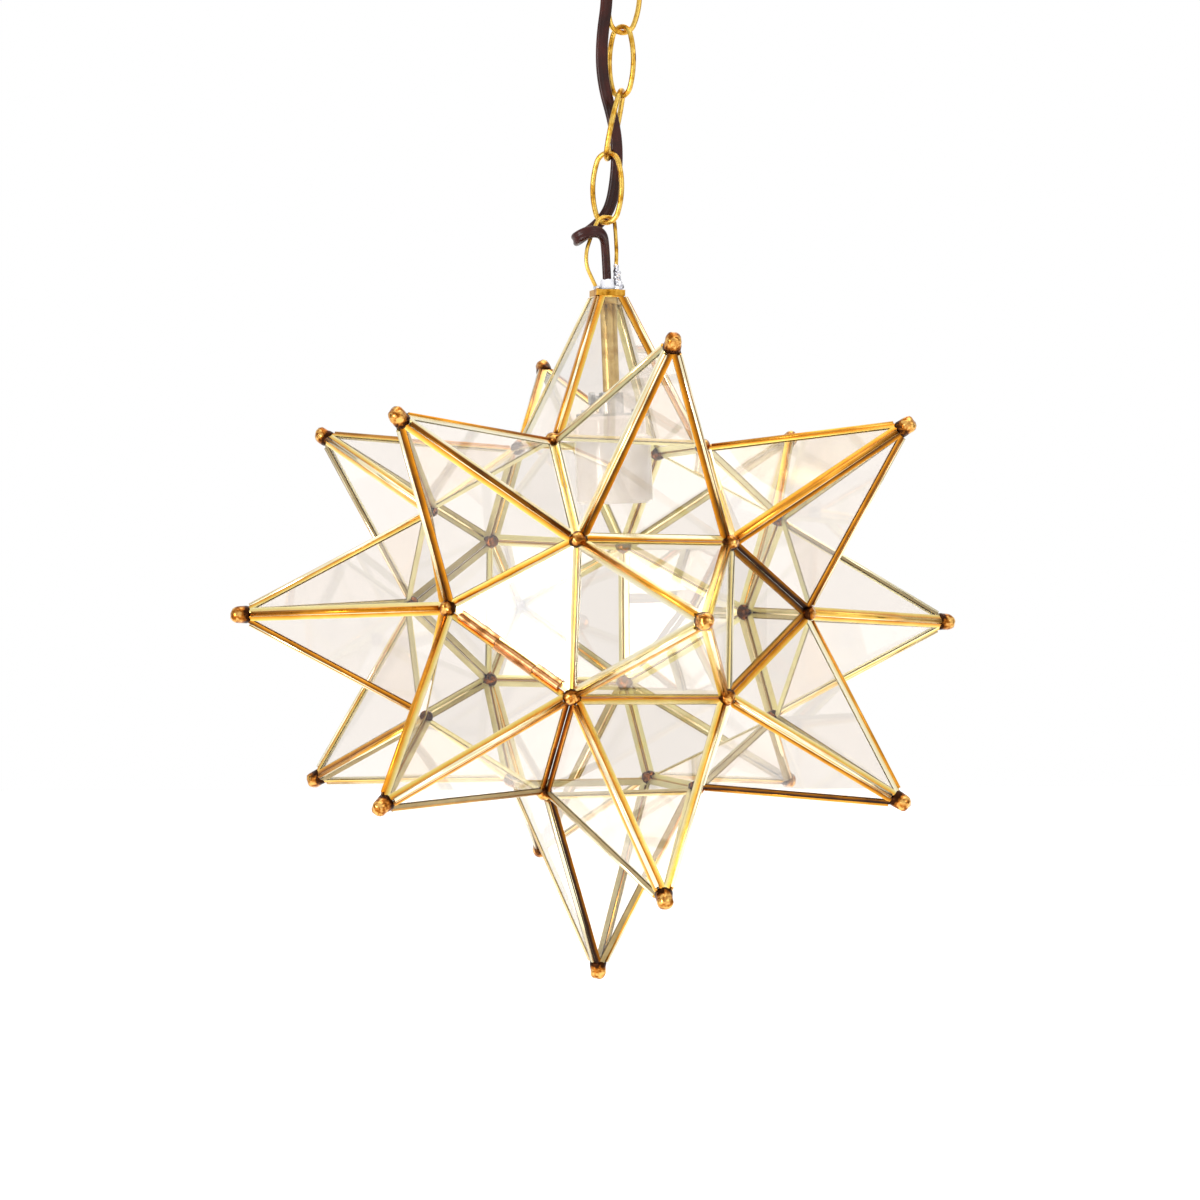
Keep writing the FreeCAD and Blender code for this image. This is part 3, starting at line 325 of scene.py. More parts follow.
@dataclass(frozen=True)
class StripFinish:
    """Folded brass strip that was cleaned, soldered and lacquered by hand.

    Each length of strip has its own tone, from pale yellow through orange to brown and near black, which its
    mesh carries as the attribute tone; the listed tones are partly each strip's own colour and partly painted
    reflection, pale for a bright lamp and dark for dark surroundings. Painted shade and painted reflection of
    brass in brass make each strip browner towards its seam, where the attribute seam is 1, and paler towards
    the glass. Faces that look into the star, which the attribute inward marks, are dull and olive. Rolling
    leaves fine streaks.
    """

    name: str = "rolled_brass_strip"
    tones: tuple[tuple[float, str], ...] = (
        (0.00, "#FFF7DA"), (0.18, "#F8E6AE"), (0.36, "#EBCB6A"), (0.53, "#E5A13C"), (0.68, "#B97418"),
        (0.82, "#865113"), (1.00, "#30201A"))
    dull_tones: tuple[tuple[float, str], ...] = (
        (0.15, "#F0ECA0"), (0.38, "#D9D4A4"), (0.58, "#B8AC84"), (0.85, "#806C42"))
    # Painted shade: how much browner each strip is painted towards its seam and paler towards the glass.
    groove_shade: float = 0.42
    patch_mm: float = 16.0
    grain_mm: float = 0.6
    bump_mm: float = 0.02

    def build(self) -> bpy.types.Material:
        """Make the node material."""
        material, tree, output = new_material(self.name)
        place = add_node(tree, "ShaderNodeTexCoord").outputs["Object"]
        tone = add_node(tree, "ShaderNodeAttribute", attribute_name="tone").outputs["Fac"]
        seam = add_node(tree, "ShaderNodeAttribute", attribute_name="seam").outputs["Fac"]
        inward = add_node(tree, "ShaderNodeAttribute", attribute_name="inward").outputs["Fac"]
        patches = add_node(tree, "ShaderNodeTexNoise", {
            "Vector": place, "Scale": 1 / (self.patch_mm * MM), "Detail": 3.0, "Roughness": 0.6})
        grain = add_node(tree, "ShaderNodeTexNoise", {
            "Vector": place, "Scale": 1 / (self.grain_mm * MM), "Detail": 3.0})
        spread = add_node(tree, "ShaderNodeMath", {0: patches.outputs["Fac"], 1: 0.30, 2: -0.15},
                          operation="MULTIPLY_ADD")
        mottled = add_node(tree, "ShaderNodeMath", {0: tone, 1: spread.outputs[0]}, operation="ADD")
        # Painted shade and painted reflection of brass in brass: browner towards the seam between two strips.
        groove_shade_shift = add_node(tree, "ShaderNodeMath", {0: seam, 1: self.groove_shade, 2: -self.groove_shade / 2},
                          operation="MULTIPLY_ADD")
        tone_and_painted_light = add_node(tree, "ShaderNodeMath", {0: mottled.outputs[0], 1: groove_shade_shift.outputs[0]},
                           operation="ADD", use_clamp=True)
        outside = ramp(tree, tone_and_painted_light.outputs[0], list(self.tones))
        inside = ramp(tree, mottled.outputs[0], list(self.dull_tones))
        colour = add_node(tree, "ShaderNodeMix", {"Factor": inward, 6: outside, 7: inside}, data_type="RGBA")
        polish = add_node(tree, "ShaderNodeMapRange", {
            "Value": tone_and_painted_light.outputs[0], "To Min": 0.14, "To Max": 0.34})
        rough = add_node(tree, "ShaderNodeMath", {0: inward, 1: 0.16, 2: polish.outputs["Result"]},
                         operation="MULTIPLY_ADD")
        bump = add_node(tree, "ShaderNodeBump", {
            "Height": grain.outputs["Fac"], "Distance": self.bump_mm * MM, "Strength": 0.5})
        shader = add_node(tree, "ShaderNodeBsdfPrincipled", {
            "Base Color": colour.outputs[2], "Metallic": 1.0, "Roughness": rough.outputs[0],
            "Normal": bump.outputs["Normal"]})
        tree.links.new(shader.outputs[0], output.inputs["Surface"])
        return material


@dataclass(frozen=True)
class SolderFinish:
    """Soft solder that has run and set, then plated or rubbed with a metal colour.

    It has soft lumps a few millimetres wide and small pits. Where the solder meets the strips it is darker,
    partly brown flux residue and partly painted shade, which the mesh carries as the attribute foot.
    """

    name: str
    bright: str = "#EDB866"
    body: str = "#A45F1E"
    # The darkest solder colour, for brown flux residue and for painted shade at the foot.
    burnt_and_shaded: str = "#351B0C"
    lump_mm: float = 2.6
    pit_mm: float = 0.7
    roughness: float = 0.16
    bump_mm: float = 0.25

    def build(self) -> bpy.types.Material:
        """Make the node material."""
        material, tree, output = new_material(self.name)
        place = add_node(tree, "ShaderNodeTexCoord").outputs["Object"]
        foot = add_node(tree, "ShaderNodeAttribute", attribute_name="foot")
        lumps = add_node(tree, "ShaderNodeTexNoise", {
            "Vector": place, "Scale": 1 / (self.lump_mm * MM), "Detail": 2.0, "Distortion": 0.4})
        pits = add_node(tree, "ShaderNodeTexVoronoi", {
            "Vector": place, "Scale": 1 / (self.pit_mm * 2 * MM), "Randomness": 1.0})
        # Painted shade with brown flux residue: darker where the attribute foot marks the solder's foot on the strips.
        unburnt_and_unshaded = add_node(tree, "ShaderNodeMath", {0: foot.outputs["Fac"], 1: -0.5, 2: lumps.outputs["Fac"]},
                         operation="MULTIPLY_ADD")
        colour = ramp(tree, unburnt_and_unshaded.outputs[0], [
            (0.18, self.burnt_and_shaded), (0.42, self.body), (0.62, self.bright)])
        rough = add_node(tree, "ShaderNodeMapRange", {
            "Value": unburnt_and_unshaded.outputs[0], "From Min": 0.1, "From Max": 0.5,
            "To Min": self.roughness + 0.25, "To Max": self.roughness})
        height = add_node(tree, "ShaderNodeMath", {
            0: pits.outputs["Distance"], 1: 0.3, 2: lumps.outputs["Fac"]}, operation="MULTIPLY_ADD")
        bump = add_node(tree, "ShaderNodeBump", {
            "Height": height.outputs[0], "Distance": self.bump_mm * MM, "Strength": 0.5})
        shader = add_node(tree, "ShaderNodeBsdfPrincipled", {
            "Base Color": colour, "Metallic": 1.0, "Roughness": rough.outputs["Result"],
            "Normal": bump.outputs["Normal"]})
        tree.links.new(shader.outputs[0], output.inputs["Surface"])
        return material


@dataclass(frozen=True)
class WindowGlass:
    """Clear thin sheet glass, hand cut. It has a faint warm tint and slow waves that bend what is reflected."""

    name: str = "clear_sheet_glass"
    tint: str = "#F8F4F0"
    wave_mm: float = 38.0
    wave_height_mm: float = 0.10

    def build(self) -> bpy.types.Material:
        """Make the node material."""
        material, tree, output = new_material(self.name)
        place = add_node(tree, "ShaderNodeTexCoord").outputs["Object"]
        waves = add_node(tree, "ShaderNodeTexNoise", {
            "Vector": place, "Scale": 1 / (self.wave_mm * MM), "Detail": 1.0})
        bump = add_node(tree, "ShaderNodeBump", {
            "Height": waves.outputs["Fac"], "Distance": self.wave_height_mm * MM, "Strength": 0.5})
        glass = add_node(tree, "ShaderNodeBsdfPrincipled", {
            "Base Color": linear(self.tint), "Transmission Weight": 1.0, "Roughness": 0.0, "IOR": 1.5,
            "Normal": bump.outputs["Normal"]})
        clear = add_node(tree, "ShaderNodeBsdfTransparent", {"Color": linear(self.tint)})
        path = add_node(tree, "ShaderNodeLightPath")
        lets_light = add_node(tree, "ShaderNodeMath", {
            0: path.outputs["Is Shadow Ray"], 1: path.outputs["Is Diffuse Ray"]}, operation="MAXIMUM")
        mix = add_node(tree, "ShaderNodeMixShader", {
            0: lets_light.outputs[0], 1: glass.outputs[0], 2: clear.outputs[0]})
        tree.links.new(mix.outputs[0], output.inputs["Surface"])
        return material


@dataclass(frozen=True)
class CoatedFinish:
    """A solid that isn't metal, such as glazed ceramic, moulded plastic or a cord's sheath.

    Its colour wanders a little over the piece, and its surface has the fine texture of how it was made.
    """

    name: str
    colour: str
    shade: str
    roughness: float
    grain_mm: float
    bump_mm: float
    coat: float = 0.0
    specular: float = 0.5
    specks: str = ""

    def build(self) -> bpy.types.Material:
        """Make the node material."""
        material, tree, output = new_material(self.name)
        place = add_node(tree, "ShaderNodeTexCoord").outputs["Object"]
        drift = add_node(tree, "ShaderNodeTexNoise", {"Vector": place, "Scale": 1 / (12 * MM), "Detail": 2.0})
        grain = add_node(tree, "ShaderNodeTexNoise", {
            "Vector": place, "Scale": 1 / (self.grain_mm * MM), "Detail": 3.0})
        colour = ramp(tree, drift.outputs["Fac"], [(0.35, self.shade), (0.6, self.colour)])
        if self.specks:
            spots = ramp(tree, grain.outputs["Fac"], [(0.68, "#000000"), (0.74, "#FFFFFF")])
            mix = add_node(tree, "ShaderNodeMix", {
                "Factor": spots, 6: colour, 7: linear(self.specks)}, data_type="RGBA")
            colour = mix.outputs[2]
        rough = add_node(tree, "ShaderNodeMapRange", {
            "Value": drift.outputs["Fac"], "From Min": 0.3, "From Max": 0.7,
            "To Min": self.roughness * 1.15, "To Max": self.roughness * 0.85})
        bump = add_node(tree, "ShaderNodeBump", {
            "Height": grain.outputs["Fac"], "Distance": self.bump_mm * MM, "Strength": 0.5})
        shader = add_node(tree, "ShaderNodeBsdfPrincipled", {
            "Base Color": colour, "Roughness": rough.outputs["Result"], "Normal": bump.outputs["Normal"],
            "Coat Weight": self.coat, "Specular IOR Level": self.specular})
        tree.links.new(shader.outputs[0], output.inputs["Surface"])
        return material


class Finish(Enum):
    """The lamp's finishes by what they are used for."""

    STRIP = StripFinish()
    WIRE = MetalFinish("drawn_brass_wire", polished="#E6C061", body="#C8942F", tarnish="#7C4F18", patch_mm=6.0,
                       grain_mm=2.4, roughness=0.24, bump_mm=0.0015)
    SPUN = MetalFinish("spun_brass", patch_mm=40.0, grain_mm=0.3, roughness=0.22)
    TUBE = MetalFinish("drawn_brass_tube", polished="#D2B878", body="#AE8A45", tarnish="#735528", patch_mm=14.0,
                       roughness=0.3)
    BEAD = SolderFinish("gilded_solder")
    SILVER_SOLDER = SolderFinish("bare_tin_solder", bright="#F2F2F6", body="#B4B4BC", burnt_and_shaded="#4C4742")
    STEEL = MetalFinish("zinc_plated_steel", polished="#D9DCDF", body="#BCC0C4", tarnish="#96989A",
                        patch_mm=6.0, roughness=0.3)
    ALUMINIUM = MetalFinish("pressed_aluminium", polished="#E2E3E2", body="#C9CAC9", tarnish="#A2A29F",
                            patch_mm=5.0, roughness=0.28)
    COLLAR = MetalFinish("heated_brass_tube", polished="#D9A441", body="#B47A1C", tarnish="#5F3A12", patch_mm=5.0,
                         roughness=0.28)
    HINGE = MetalFinish("browned_brass_hinge", polished="#CF9C6E", body="#A56F40", tarnish="#68401F", patch_mm=7.0,
                        roughness=0.3)
    GLASS = WindowGlass()
    CERAMIC = CoatedFinish("glazed_ceramic", "#FBFAF8", "#F1EEEA", 0.18, 1.2, 0.015, coat=0.6)
    BUSHING = CoatedFinish("white_nylon", "#ECECF2", "#DADAE4", 0.4, 0.6, 0.01)
    CORD = CoatedFinish("brown_cord_sheath", "#3C130C", "#240905", 0.3, 0.5, 0.008, specular=0.28)


class Paints:
    """Builds each finish once and hands out its material."""

    def __init__(self) -> None:
        """Start with nothing built."""
        self._made: dict[Finish, bpy.types.Material] = {}

    def of(self, finish: Finish) -> bpy.types.Material:
        """Return the material of a finish, built on first use."""
        if finish not in self._made:
            self._made[finish] = finish.value.build()
        return self._made[finish]


# ---- sub-assemblies


def dress(node: str, material: bpy.types.Material, bevel: float = 0.0, segments: int = 2) -> None:
    """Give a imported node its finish, smooth shading and softened edges.

    Args:
        node: The node's name.
        material: Its finish.
        bevel: Width of the softened edges in metres, 0 for none.
        segments: Facets across each softened edge.
    """
    piece = bpy.data.objects[node]
    piece.data.materials.clear()
    piece.data.materials.append(material)
    piece.data.polygons.foreach_set("use_smooth", [True] * len(piece.data.polygons))
    add_modifier(piece, "WELD", merge_threshold=0.004 * MM)
    if bevel:
        add_modifier(piece, "BEVEL", width=bevel, segments=segments, limit_method="ANGLE",
                     angle_limit=math.radians(35), harden_normals=False)
    add_modifier(piece, "WEIGHTED_NORMAL", keep_sharp=False, weight=80)
    LOG.info("node %s: finish %s", node, material.name)


class Tone(Enum):
    """How a listed length of strip is coloured: how brown, from 0 to 1, partly its own tone and partly painted
    reflection, and how far it is dulled to olive.
    """

    # The palest and the darkest tones are partly painted reflection, of a bright lamp and of dark surroundings.
    PALE = (0.10, 0.0)
    GOLD = (0.36, 0.0)
    ORANGE = (0.52, 0.0)
    KHAKI = (0.46, 0.8)
    OLIVE = (0.74, 0.9)
    UMBER = (0.66, 0.0)
    BRONZE = (0.80, 0.0)
    NEAR_BLACK = (0.97, 0.0)


@dataclass
class StripSide:
    """One straight side of a strip ring: a place on its outer wall, the ways out and along, and its tone."""

    place: Vector
    outward: Vector
    along: Vector
    length: float
    tone: tuple[float, float]


@dataclass
class StripRing:
    """The strip round one pane: its middle, its pane's normal, half its thickness and its three sides."""

    middle: Vector
    normal: Vector
    half: float
    sides: list[StripSide]


@dataclass
class GlassStar:
    """The star: brass strips, panes, solder at the corners and caps on the tips."""

    paints: Paints
    strip_round: float = 0.6 * MM
    strip_width: float = 3.0 * MM
    touch: float = 0.6 * MM
    bead_radius: float = 4.2 * MM
    seam_sink: float = 0.4 * MM
    seam_overlap: float = 0.3 * MM
    seam_short: float = 2.0 * MM
    # Listed strips, as x, y and z of a strip's middle in millimetres from the star's centre and its tone; the tones are
    # partly each strip's own colour and partly painted reflection.
    tone_and_painted_light: tuple[tuple[float, float, float, Tone], ...] = (
        (16.8, -113.0, 84.9, Tone.BRONZE), (-109.4, -76.0, 50.0, Tone.BRONZE), (-17.1, -19.4, -138.1, Tone.NEAR_BLACK),
        (-37.9, -66.8, -66.1, Tone.BRONZE), (-41.2, -65.8, -65.2, Tone.UMBER), (86.0, -68.1, -88.8, Tone.NEAR_BLACK),
        (67.5, -73.9, 20.6, Tone.NEAR_BLACK), (65.7, -74.0, 17.6, Tone.BRONZE), (65.5, -74.0, -17.1, Tone.UMBER),
        (-113.3, 48.6, -71.9, Tone.UMBER), (-17.5, -112.9, 85.1, Tone.BRONZE), (87.5, -92.4, 66.0, Tone.BRONZE),
        (-84.7, -93.1, 65.2, Tone.ORANGE), (-141.4, -25.5, -1.9, Tone.ORANGE), (85.8, -91.9, -67.3, Tone.UMBER),
        (1.2, -94.9, 35.9, Tone.ORANGE), (-67.2, -73.4, -19.7, Tone.ORANGE), (85.7, -91.8, 68.7, Tone.ORANGE),
        (-86.3, 64.8, 87.6, Tone.ORANGE), (-66.2, -73.7, 21.1, Tone.ORANGE), (-94.2, -26.5, 26.3, Tone.UMBER),
        (86.6, 65.3, 89.3, Tone.UMBER), (-112.0, -75.2, -46.3, Tone.GOLD), (16.6, -112.9, -87.5, Tone.GOLD),
        (87.5, -92.5, -64.4, Tone.GOLD), (141.5, -26.1, -2.4, Tone.ORANGE), (21.3, -22.7, 124.7, Tone.UMBER),
        (17.6, -140.6, -19.8, Tone.GOLD), (-39.6, -91.3, -1.2, Tone.PALE), (-64.4, -73.8, 18.1, Tone.PALE),
        (42.4, -66.6, 61.6, Tone.PALE), (111.4, -75.4, -46.1, Tone.PALE), (95.7, -26.8, 25.3, Tone.PALE),
        (1.2, -93.6, 38.9, Tone.PALE), (41.7, -66.3, -64.1, Tone.PALE), (-39.2, -66.3, 62.6, Tone.PALE),
        (-92.0, 28.3, -27.3, Tone.PALE), (-19.8, -140.3, -17.5, Tone.PALE), (41.0, -91.6, -1.3, Tone.PALE),
        (-19.0, -140.6, 16.3, Tone.PALE), (-37.5, -94.0, -1.2, Tone.PALE), (95.0, -26.6, -25.6, Tone.PALE),
        (-36.2, -67.2, 63.4, Tone.PALE), (-82.7, -68.7, 90.0, Tone.PALE), (-19.8, -111.2, 86.7, Tone.PALE),
        (-20.5, -87.1, -111.5, Tone.OLIVE), (-86.3, -67.8, -90.2, Tone.OLIVE), (111.2, -75.4, 50.7, Tone.BRONZE),
        (142.1, -2.1, 22.2, Tone.OLIVE), (-111.2, 72.1, 48.5, Tone.OLIVE), (111.3, 48.1, -75.3, Tone.OLIVE),
        (-111.6, 48.1, -74.7, Tone.OLIVE), (-19.6, -87.3, 108.7, Tone.KHAKI), (86.4, -68.2, 90.2, Tone.ORANGE),
        (-37.8, 0.1, -90.7, Tone.KHAKI),
        (-82.9, -92.6, 68.0, Tone.PALE), (-16.5, -140.6, 18.7, Tone.PALE), (141.2, -1.9, -27.3, Tone.GOLD),
        (17.9, -19.7, -137.2, Tone.OLIVE), (-19.1, -22.5, 125.5, Tone.ORANGE), (-141.3, -1.5, -27.1, Tone.BRONZE),
        (-21.5, -20.1, 125.5, Tone.UMBER), (23.7, -20.3, 124.7, Tone.ORANGE),
        (20.1, -110.4, 84.4, Tone.BRONZE), (-110.2, -72.1, 48.4, Tone.BRONZE), (-20.3, -17.9, -135.8, Tone.NEAR_BLACK),
        (85.5, -63.8, -89.2, Tone.NEAR_BLACK), (-82.4, 66.4, 86.9, Tone.ORANGE), (-92.8, -28.5, 28.5, Tone.UMBER),
        (-18.3, -138.0, -20.9, Tone.ORANGE), (18.7, -138.3, 19.4, Tone.GOLD))

    def wall_faces(self, group: list[bmesh.types.BMVert], normal: Vector, half: float) -> list[bmesh.types.BMFace]:
        """Find the outer walls of one strip ring, longest first.

        Args:
            group: The ring's points.
            normal: The pane's normal.
            half: Half the strip's thickness.

        Returns:
            The walls that are as high as the strip is thick and look away from the pane.
        """
        middle = middle_of(group)
        walls = []
        for face in {face for vert in group for face in vert.link_faces}:
            if abs(face.normal.dot(normal)) > 0.2:
                continue
            heights = [(vert.co - middle).dot(normal) for vert in face.verts]
            if max(heights) - min(heights) < 1.9 * half:
                continue
            if face.normal.dot(face.calc_center_median() - middle) > 0:
                walls.append(face)
        return sorted(walls, key=lambda face: -face.calc_area())

    def read_ring(self, group: list[bmesh.types.BMVert]) -> StripRing:
        """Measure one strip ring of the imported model.

        Args:
            group: The ring's points.

        Returns:
            Its middle, normal, half thickness and three sides.
        """
        faces = {face for vert in group for face in vert.link_faces}
        normal = max(faces, key=lambda face: face.calc_area()).normal.copy()
        heights = [vert.co.dot(normal) for vert in group]
        half = (max(heights) - min(heights)) / 2
        middle = middle_of(group)
        middle += normal * ((max(heights) + min(heights)) / 2 - middle.dot(normal))
        if normal.dot(middle - STAR_CENTRE) < 0:
            normal = -normal
        sides = []
        for wall in self.wall_faces(group, normal, half)[:3]:
            outward, along = wall.normal.copy(), wall.normal.cross(normal).normalized()
            one, two = max(combinations(wall.verts, 2), key=lambda pair: (pair[0].co - pair[1].co).length)
            place = middle_of((one, two))
            sides.append(StripSide(place, outward, along, abs((two.co - one.co).dot(along)),
                                   self.tone_at(place - outward * self.strip_width / 2)))
        return StripRing(middle, normal, half, sides)

    def tone_at(self, place: Vector) -> tuple[float, float]:
        """Return the tone of the strip whose middle is at a place: as listed, or left to chance."""
        for x, y, z, tone in self.tone_and_painted_light:
            if (STAR_CENTRE + Vector((x, y, z)) * MM - place).length < 3.0 * MM:
                return tone.value
        return 0.45 + 0.3 * noise.noise(place / (7 * MM)), max(noise.noise(place / (9 * MM)), 0.0)

    def mitre(self, shape: bmesh.types.BMesh, ring: StripRing) -> None:
        """Cut a ring's faces where two of its sides meet, so that each face belongs to one side."""
        for one, two in ((0, 1), (1, 2), (2, 0)):
            a, b = ring.sides[one], ring.sides[two]
            across = a.outward - b.outward
            level = a.place.dot(a.outward) - b.place.dot(b.outward)
            bmesh.ops.bisect_plane(shape, geom=[*shape.verts, *shape.edges, *shape.faces], dist=1e-7,
                                   plane_co=across * (level / across.length_squared),
                                   plane_no=across.normalized())

    def free_edges(self, shape: bmesh.types.BMesh, ring: StripRing, tree: BVHTree, owners: list[int],
                   number: int) -> list[bmesh.types.BMEdge]:
        """Find the long outer edges that no neighbouring strip touches.

        Args:
            shape: One ring.
            ring: Its measures.
            tree: A search tree of every strip of the star.
            owners: Which ring each of the tree's faces belongs to.
            number: This ring's own number there.

        Returns:
            The edges that the folding left round and free.
        """
        free = []
        for edge in shape.edges:
            heights = [(vert.co - ring.middle).dot(ring.normal) for vert in edge.verts]
            middle = middle_of(edge.verts)
            off_side = min(abs((middle - side.place).dot(side.outward)) for side in ring.sides)
            if min(abs(height) for height in heights) < 0.98 * ring.half or off_side > 0.01 * MM:
                continue
            if all(owners[found[2]] == number for found in tree.find_nearest_range(middle, self.touch)):
                free.append(edge)
        return free

    def mark(self, shape: bmesh.types.BMesh, ring: StripRing) -> None:
        """Write each face's tone and whether it looks into the star, and each point's nearness to the seam."""
        tone = shape.faces.layers.float.new("tone")
        inward = shape.faces.layers.float.new("inward")
        seam = shape.verts.layers.float.new("seam")
        for face in shape.faces:
            middle = face.calc_center_median()
            side = max(ring.sides, key=lambda part: (middle - part.place).dot(part.outward))
            face[tone], missed = side.tone
            on_wall = 0.6 if face.normal.dot(side.outward) > 0.9 else missed
            face[inward] = 1.0 if face.normal.dot(ring.normal) < -0.3 else on_wall
        # seam: 1 at the strip's outer wall, falling to 0 a strip's width in; the material paints shade by it.
        for vert in shape.verts:
            depth = -max((vert.co - side.place).dot(side.outward) for side in ring.sides)
            vert[seam] = min(max(1.0 - depth / self.strip_width, 0.0), 1.0)

    def round_ring(self, whole: bmesh.types.BMesh, group: list[bmesh.types.BMVert], ring: StripRing,
                   tree: BVHTree, owners: list[int], number: int) -> bpy.types.Mesh:
        """Mitre, round and tone one strip ring.

        Args:
            whole: Every strip of the star.
            group: This ring's points in it.
            ring: Its measures.
            tree: A search tree of the whole.
            owners: Which ring each of the tree's faces belongs to.
            number: This ring's own number there.

        Returns:
            The finished ring.
        """
        shape = whole.copy()
        shape.verts.ensure_lookup_table()
        kept = {vert.index for vert in group}
        bmesh.ops.delete(shape, geom=[vert for vert in shape.verts if vert.index not in kept], context="VERTS")
        self.mitre(shape, ring)
        bmesh.ops.bevel(shape, geom=self.free_edges(shape, ring, tree, owners, number), offset=self.strip_round,
                        offset_type="OFFSET", affect="EDGES", segments=3, profile=0.5, material=-1,
                        clamp_overlap=True)
        self.mark(shape, ring)
        data = bpy.data.meshes.new("ring")
        shape.to_mesh(data)
        shape.free()
        return data

    def build_strips(self, frame: dict) -> None:
        """Make the rounded strips of every point and of the flat panes."""
        whole, node_of = bmesh.new(), []
        for node in sorted(frame["nodes"]):
            if node.startswith(("point_cames", "flat_pane_cames", "door_point_cames")):
                data = bpy.data.meshes.new("copy")
                part = merged_copy(node)
                node_of += [node] * len(islands(part))
                part.to_mesh(data)
                part.free()
                whole.from_mesh(data)
                bpy.data.meshes.remove(data)
        for items in (whole.verts, whole.faces):
            items.index_update()
            items.ensure_lookup_table()
        tree, owners, groups = BVHTree.FromBMesh(whole), [0] * len(whole.faces), islands(whole)
        for number, group in enumerate(groups):
            for face in {face for vert in group for face in vert.link_faces}:
                owners[face.index] = number
        rings = [self.read_ring(group) for group in groups]
        shapes = {node: bmesh.new() for node in node_of}
        for number, (node, group) in enumerate(zip(node_of, groups)):
            data = self.round_ring(whole, group, rings[number], tree, owners, number)
            shapes[node].from_mesh(data)
            bpy.data.meshes.remove(data)
        whole.free()
        for node, shape in shapes.items():
            body = "door" if node.startswith("door") else "star"
            piece = object_from("strips_" + node.replace("_cames", ""), shape, self.paints.of(Finish.STRIP), body,
                                (node,))
            add_modifier(piece, "WEIGHTED_NORMAL", keep_sharp=False, weight=90)
        for body in ("star", "door"):
            self.fill_seams([ring for node, ring in zip(node_of, rings) if node.startswith("door") == (body == "door")],
                            body)

    def fill_seams(self, rings: list[StripRing], body: str) -> None:
        """Run solder along each groove where two strips meet in a ridge.

        Args:
            rings: The strip rings of one moving body.
            body: That body.
        """
        shape = bmesh.new()
        tone = shape.faces.layers.float.new("tone")
        inward = shape.faces.layers.float.new("inward")
        seam = shape.verts.layers.float.new("seam")
        sides = [(ring, side) for ring in rings for side in ring.sides]
        for (ring, side), (other_ring, other) in combinations(sides, 2):
            if (side.place - other.place).length > 3 * MM or abs(side.along.dot(other.along)) < 0.98:
                continue
            top, other_top = (part.place + flat.normal * flat.half
                              for part, flat in ((side, ring), (other, other_ring)))
            low, other_low = (part.place - flat.normal * flat.half
                              for part, flat in ((side, ring), (other, other_ring)))
            groove = (top - other_top).length
            if groove < (low - other_low).length + 0.2 * MM:
                continue
            out = (ring.normal + other_ring.normal).normalized()
            centre = (top + other_top) / 2 - out * self.seam_sink
            turn = side.along.to_track_quat("Z", "Y").to_matrix().to_4x4()
            radius = groove / 2 + self.seam_overlap
            before = len(shape.faces)
            bmesh.ops.create_cone(shape, cap_ends=True, segments=16, radius1=radius, radius2=radius,
                                  depth=min(side.length, other.length) - self.seam_short,
                                  matrix=Matrix.Translation(centre) @ turn)
            shape.faces.ensure_lookup_table()
            for face in shape.faces[before:]:
                face[tone] = (side.tone[0] + other.tone[0]) / 2
                face[inward] = min(side.tone[1], other.tone[1])
                # The seam solder takes most of the strips' painted seam shade.
                for vert in face.verts:
                    vert[seam] = 0.7
        object_from(body + "_seam_solder", shape, self.paints.of(Finish.STRIP), body, ())

    def dress_panes(self, frame: dict) -> None:
        """Give the panes their glass."""
        for node in sorted(frame["nodes"]):
            if node.startswith("glass_"):
                piece = bpy.data.objects[node]
                piece.data.materials.clear()
                piece.data.materials.append(self.paints.of(Finish.GLASS))
                LOG.info("node %s: clear glass", node)

    def build_beads(self) -> None:
        """Make the lumps of solder over the core's corners, each where its packed bead is."""
        packed = merged_copy("solder_beads")
        centres = [middle_of(group) for group in islands(packed)]
        packed.free()
        shape = bmesh.new()
        foot = shape.verts.layers.float.new("foot")
        for number, corner in enumerate(centres):
            outward = (corner - STAR_CENTRE).normalized()
            turn = outward.to_track_quat("Z", "Y").to_matrix().to_4x4()
            squat = Matrix.Diagonal((1.06, 0.98, 0.94, 1.0))
            place = Matrix.Translation(corner + outward * 0.2 * MM) @ turn @ squat
            made = bmesh.ops.create_icosphere(shape, subdivisions=4, radius=self.bead_radius, matrix=place)
            for vert in made["verts"]:
                height = (vert.co - corner).normalized().dot(outward)
                # foot: painted shade with brown flux residue, darkest round the bead's edge on the strips and none on
                # its top.
                vert[foot] = min(max(1.2 - 1.5 * height, 0.0), 1.0) if height > -0.1 else 0.55
            roughen(made["verts"], corner, 0.7 * MM, 3.4 * MM, number)
            roughen(made["verts"], corner, 0.2 * MM, 1.2 * MM, number + 40)
        object_from("corner_solder_beads", shape, self.paints.of(Finish.BEAD), "star", ("solder_beads",))

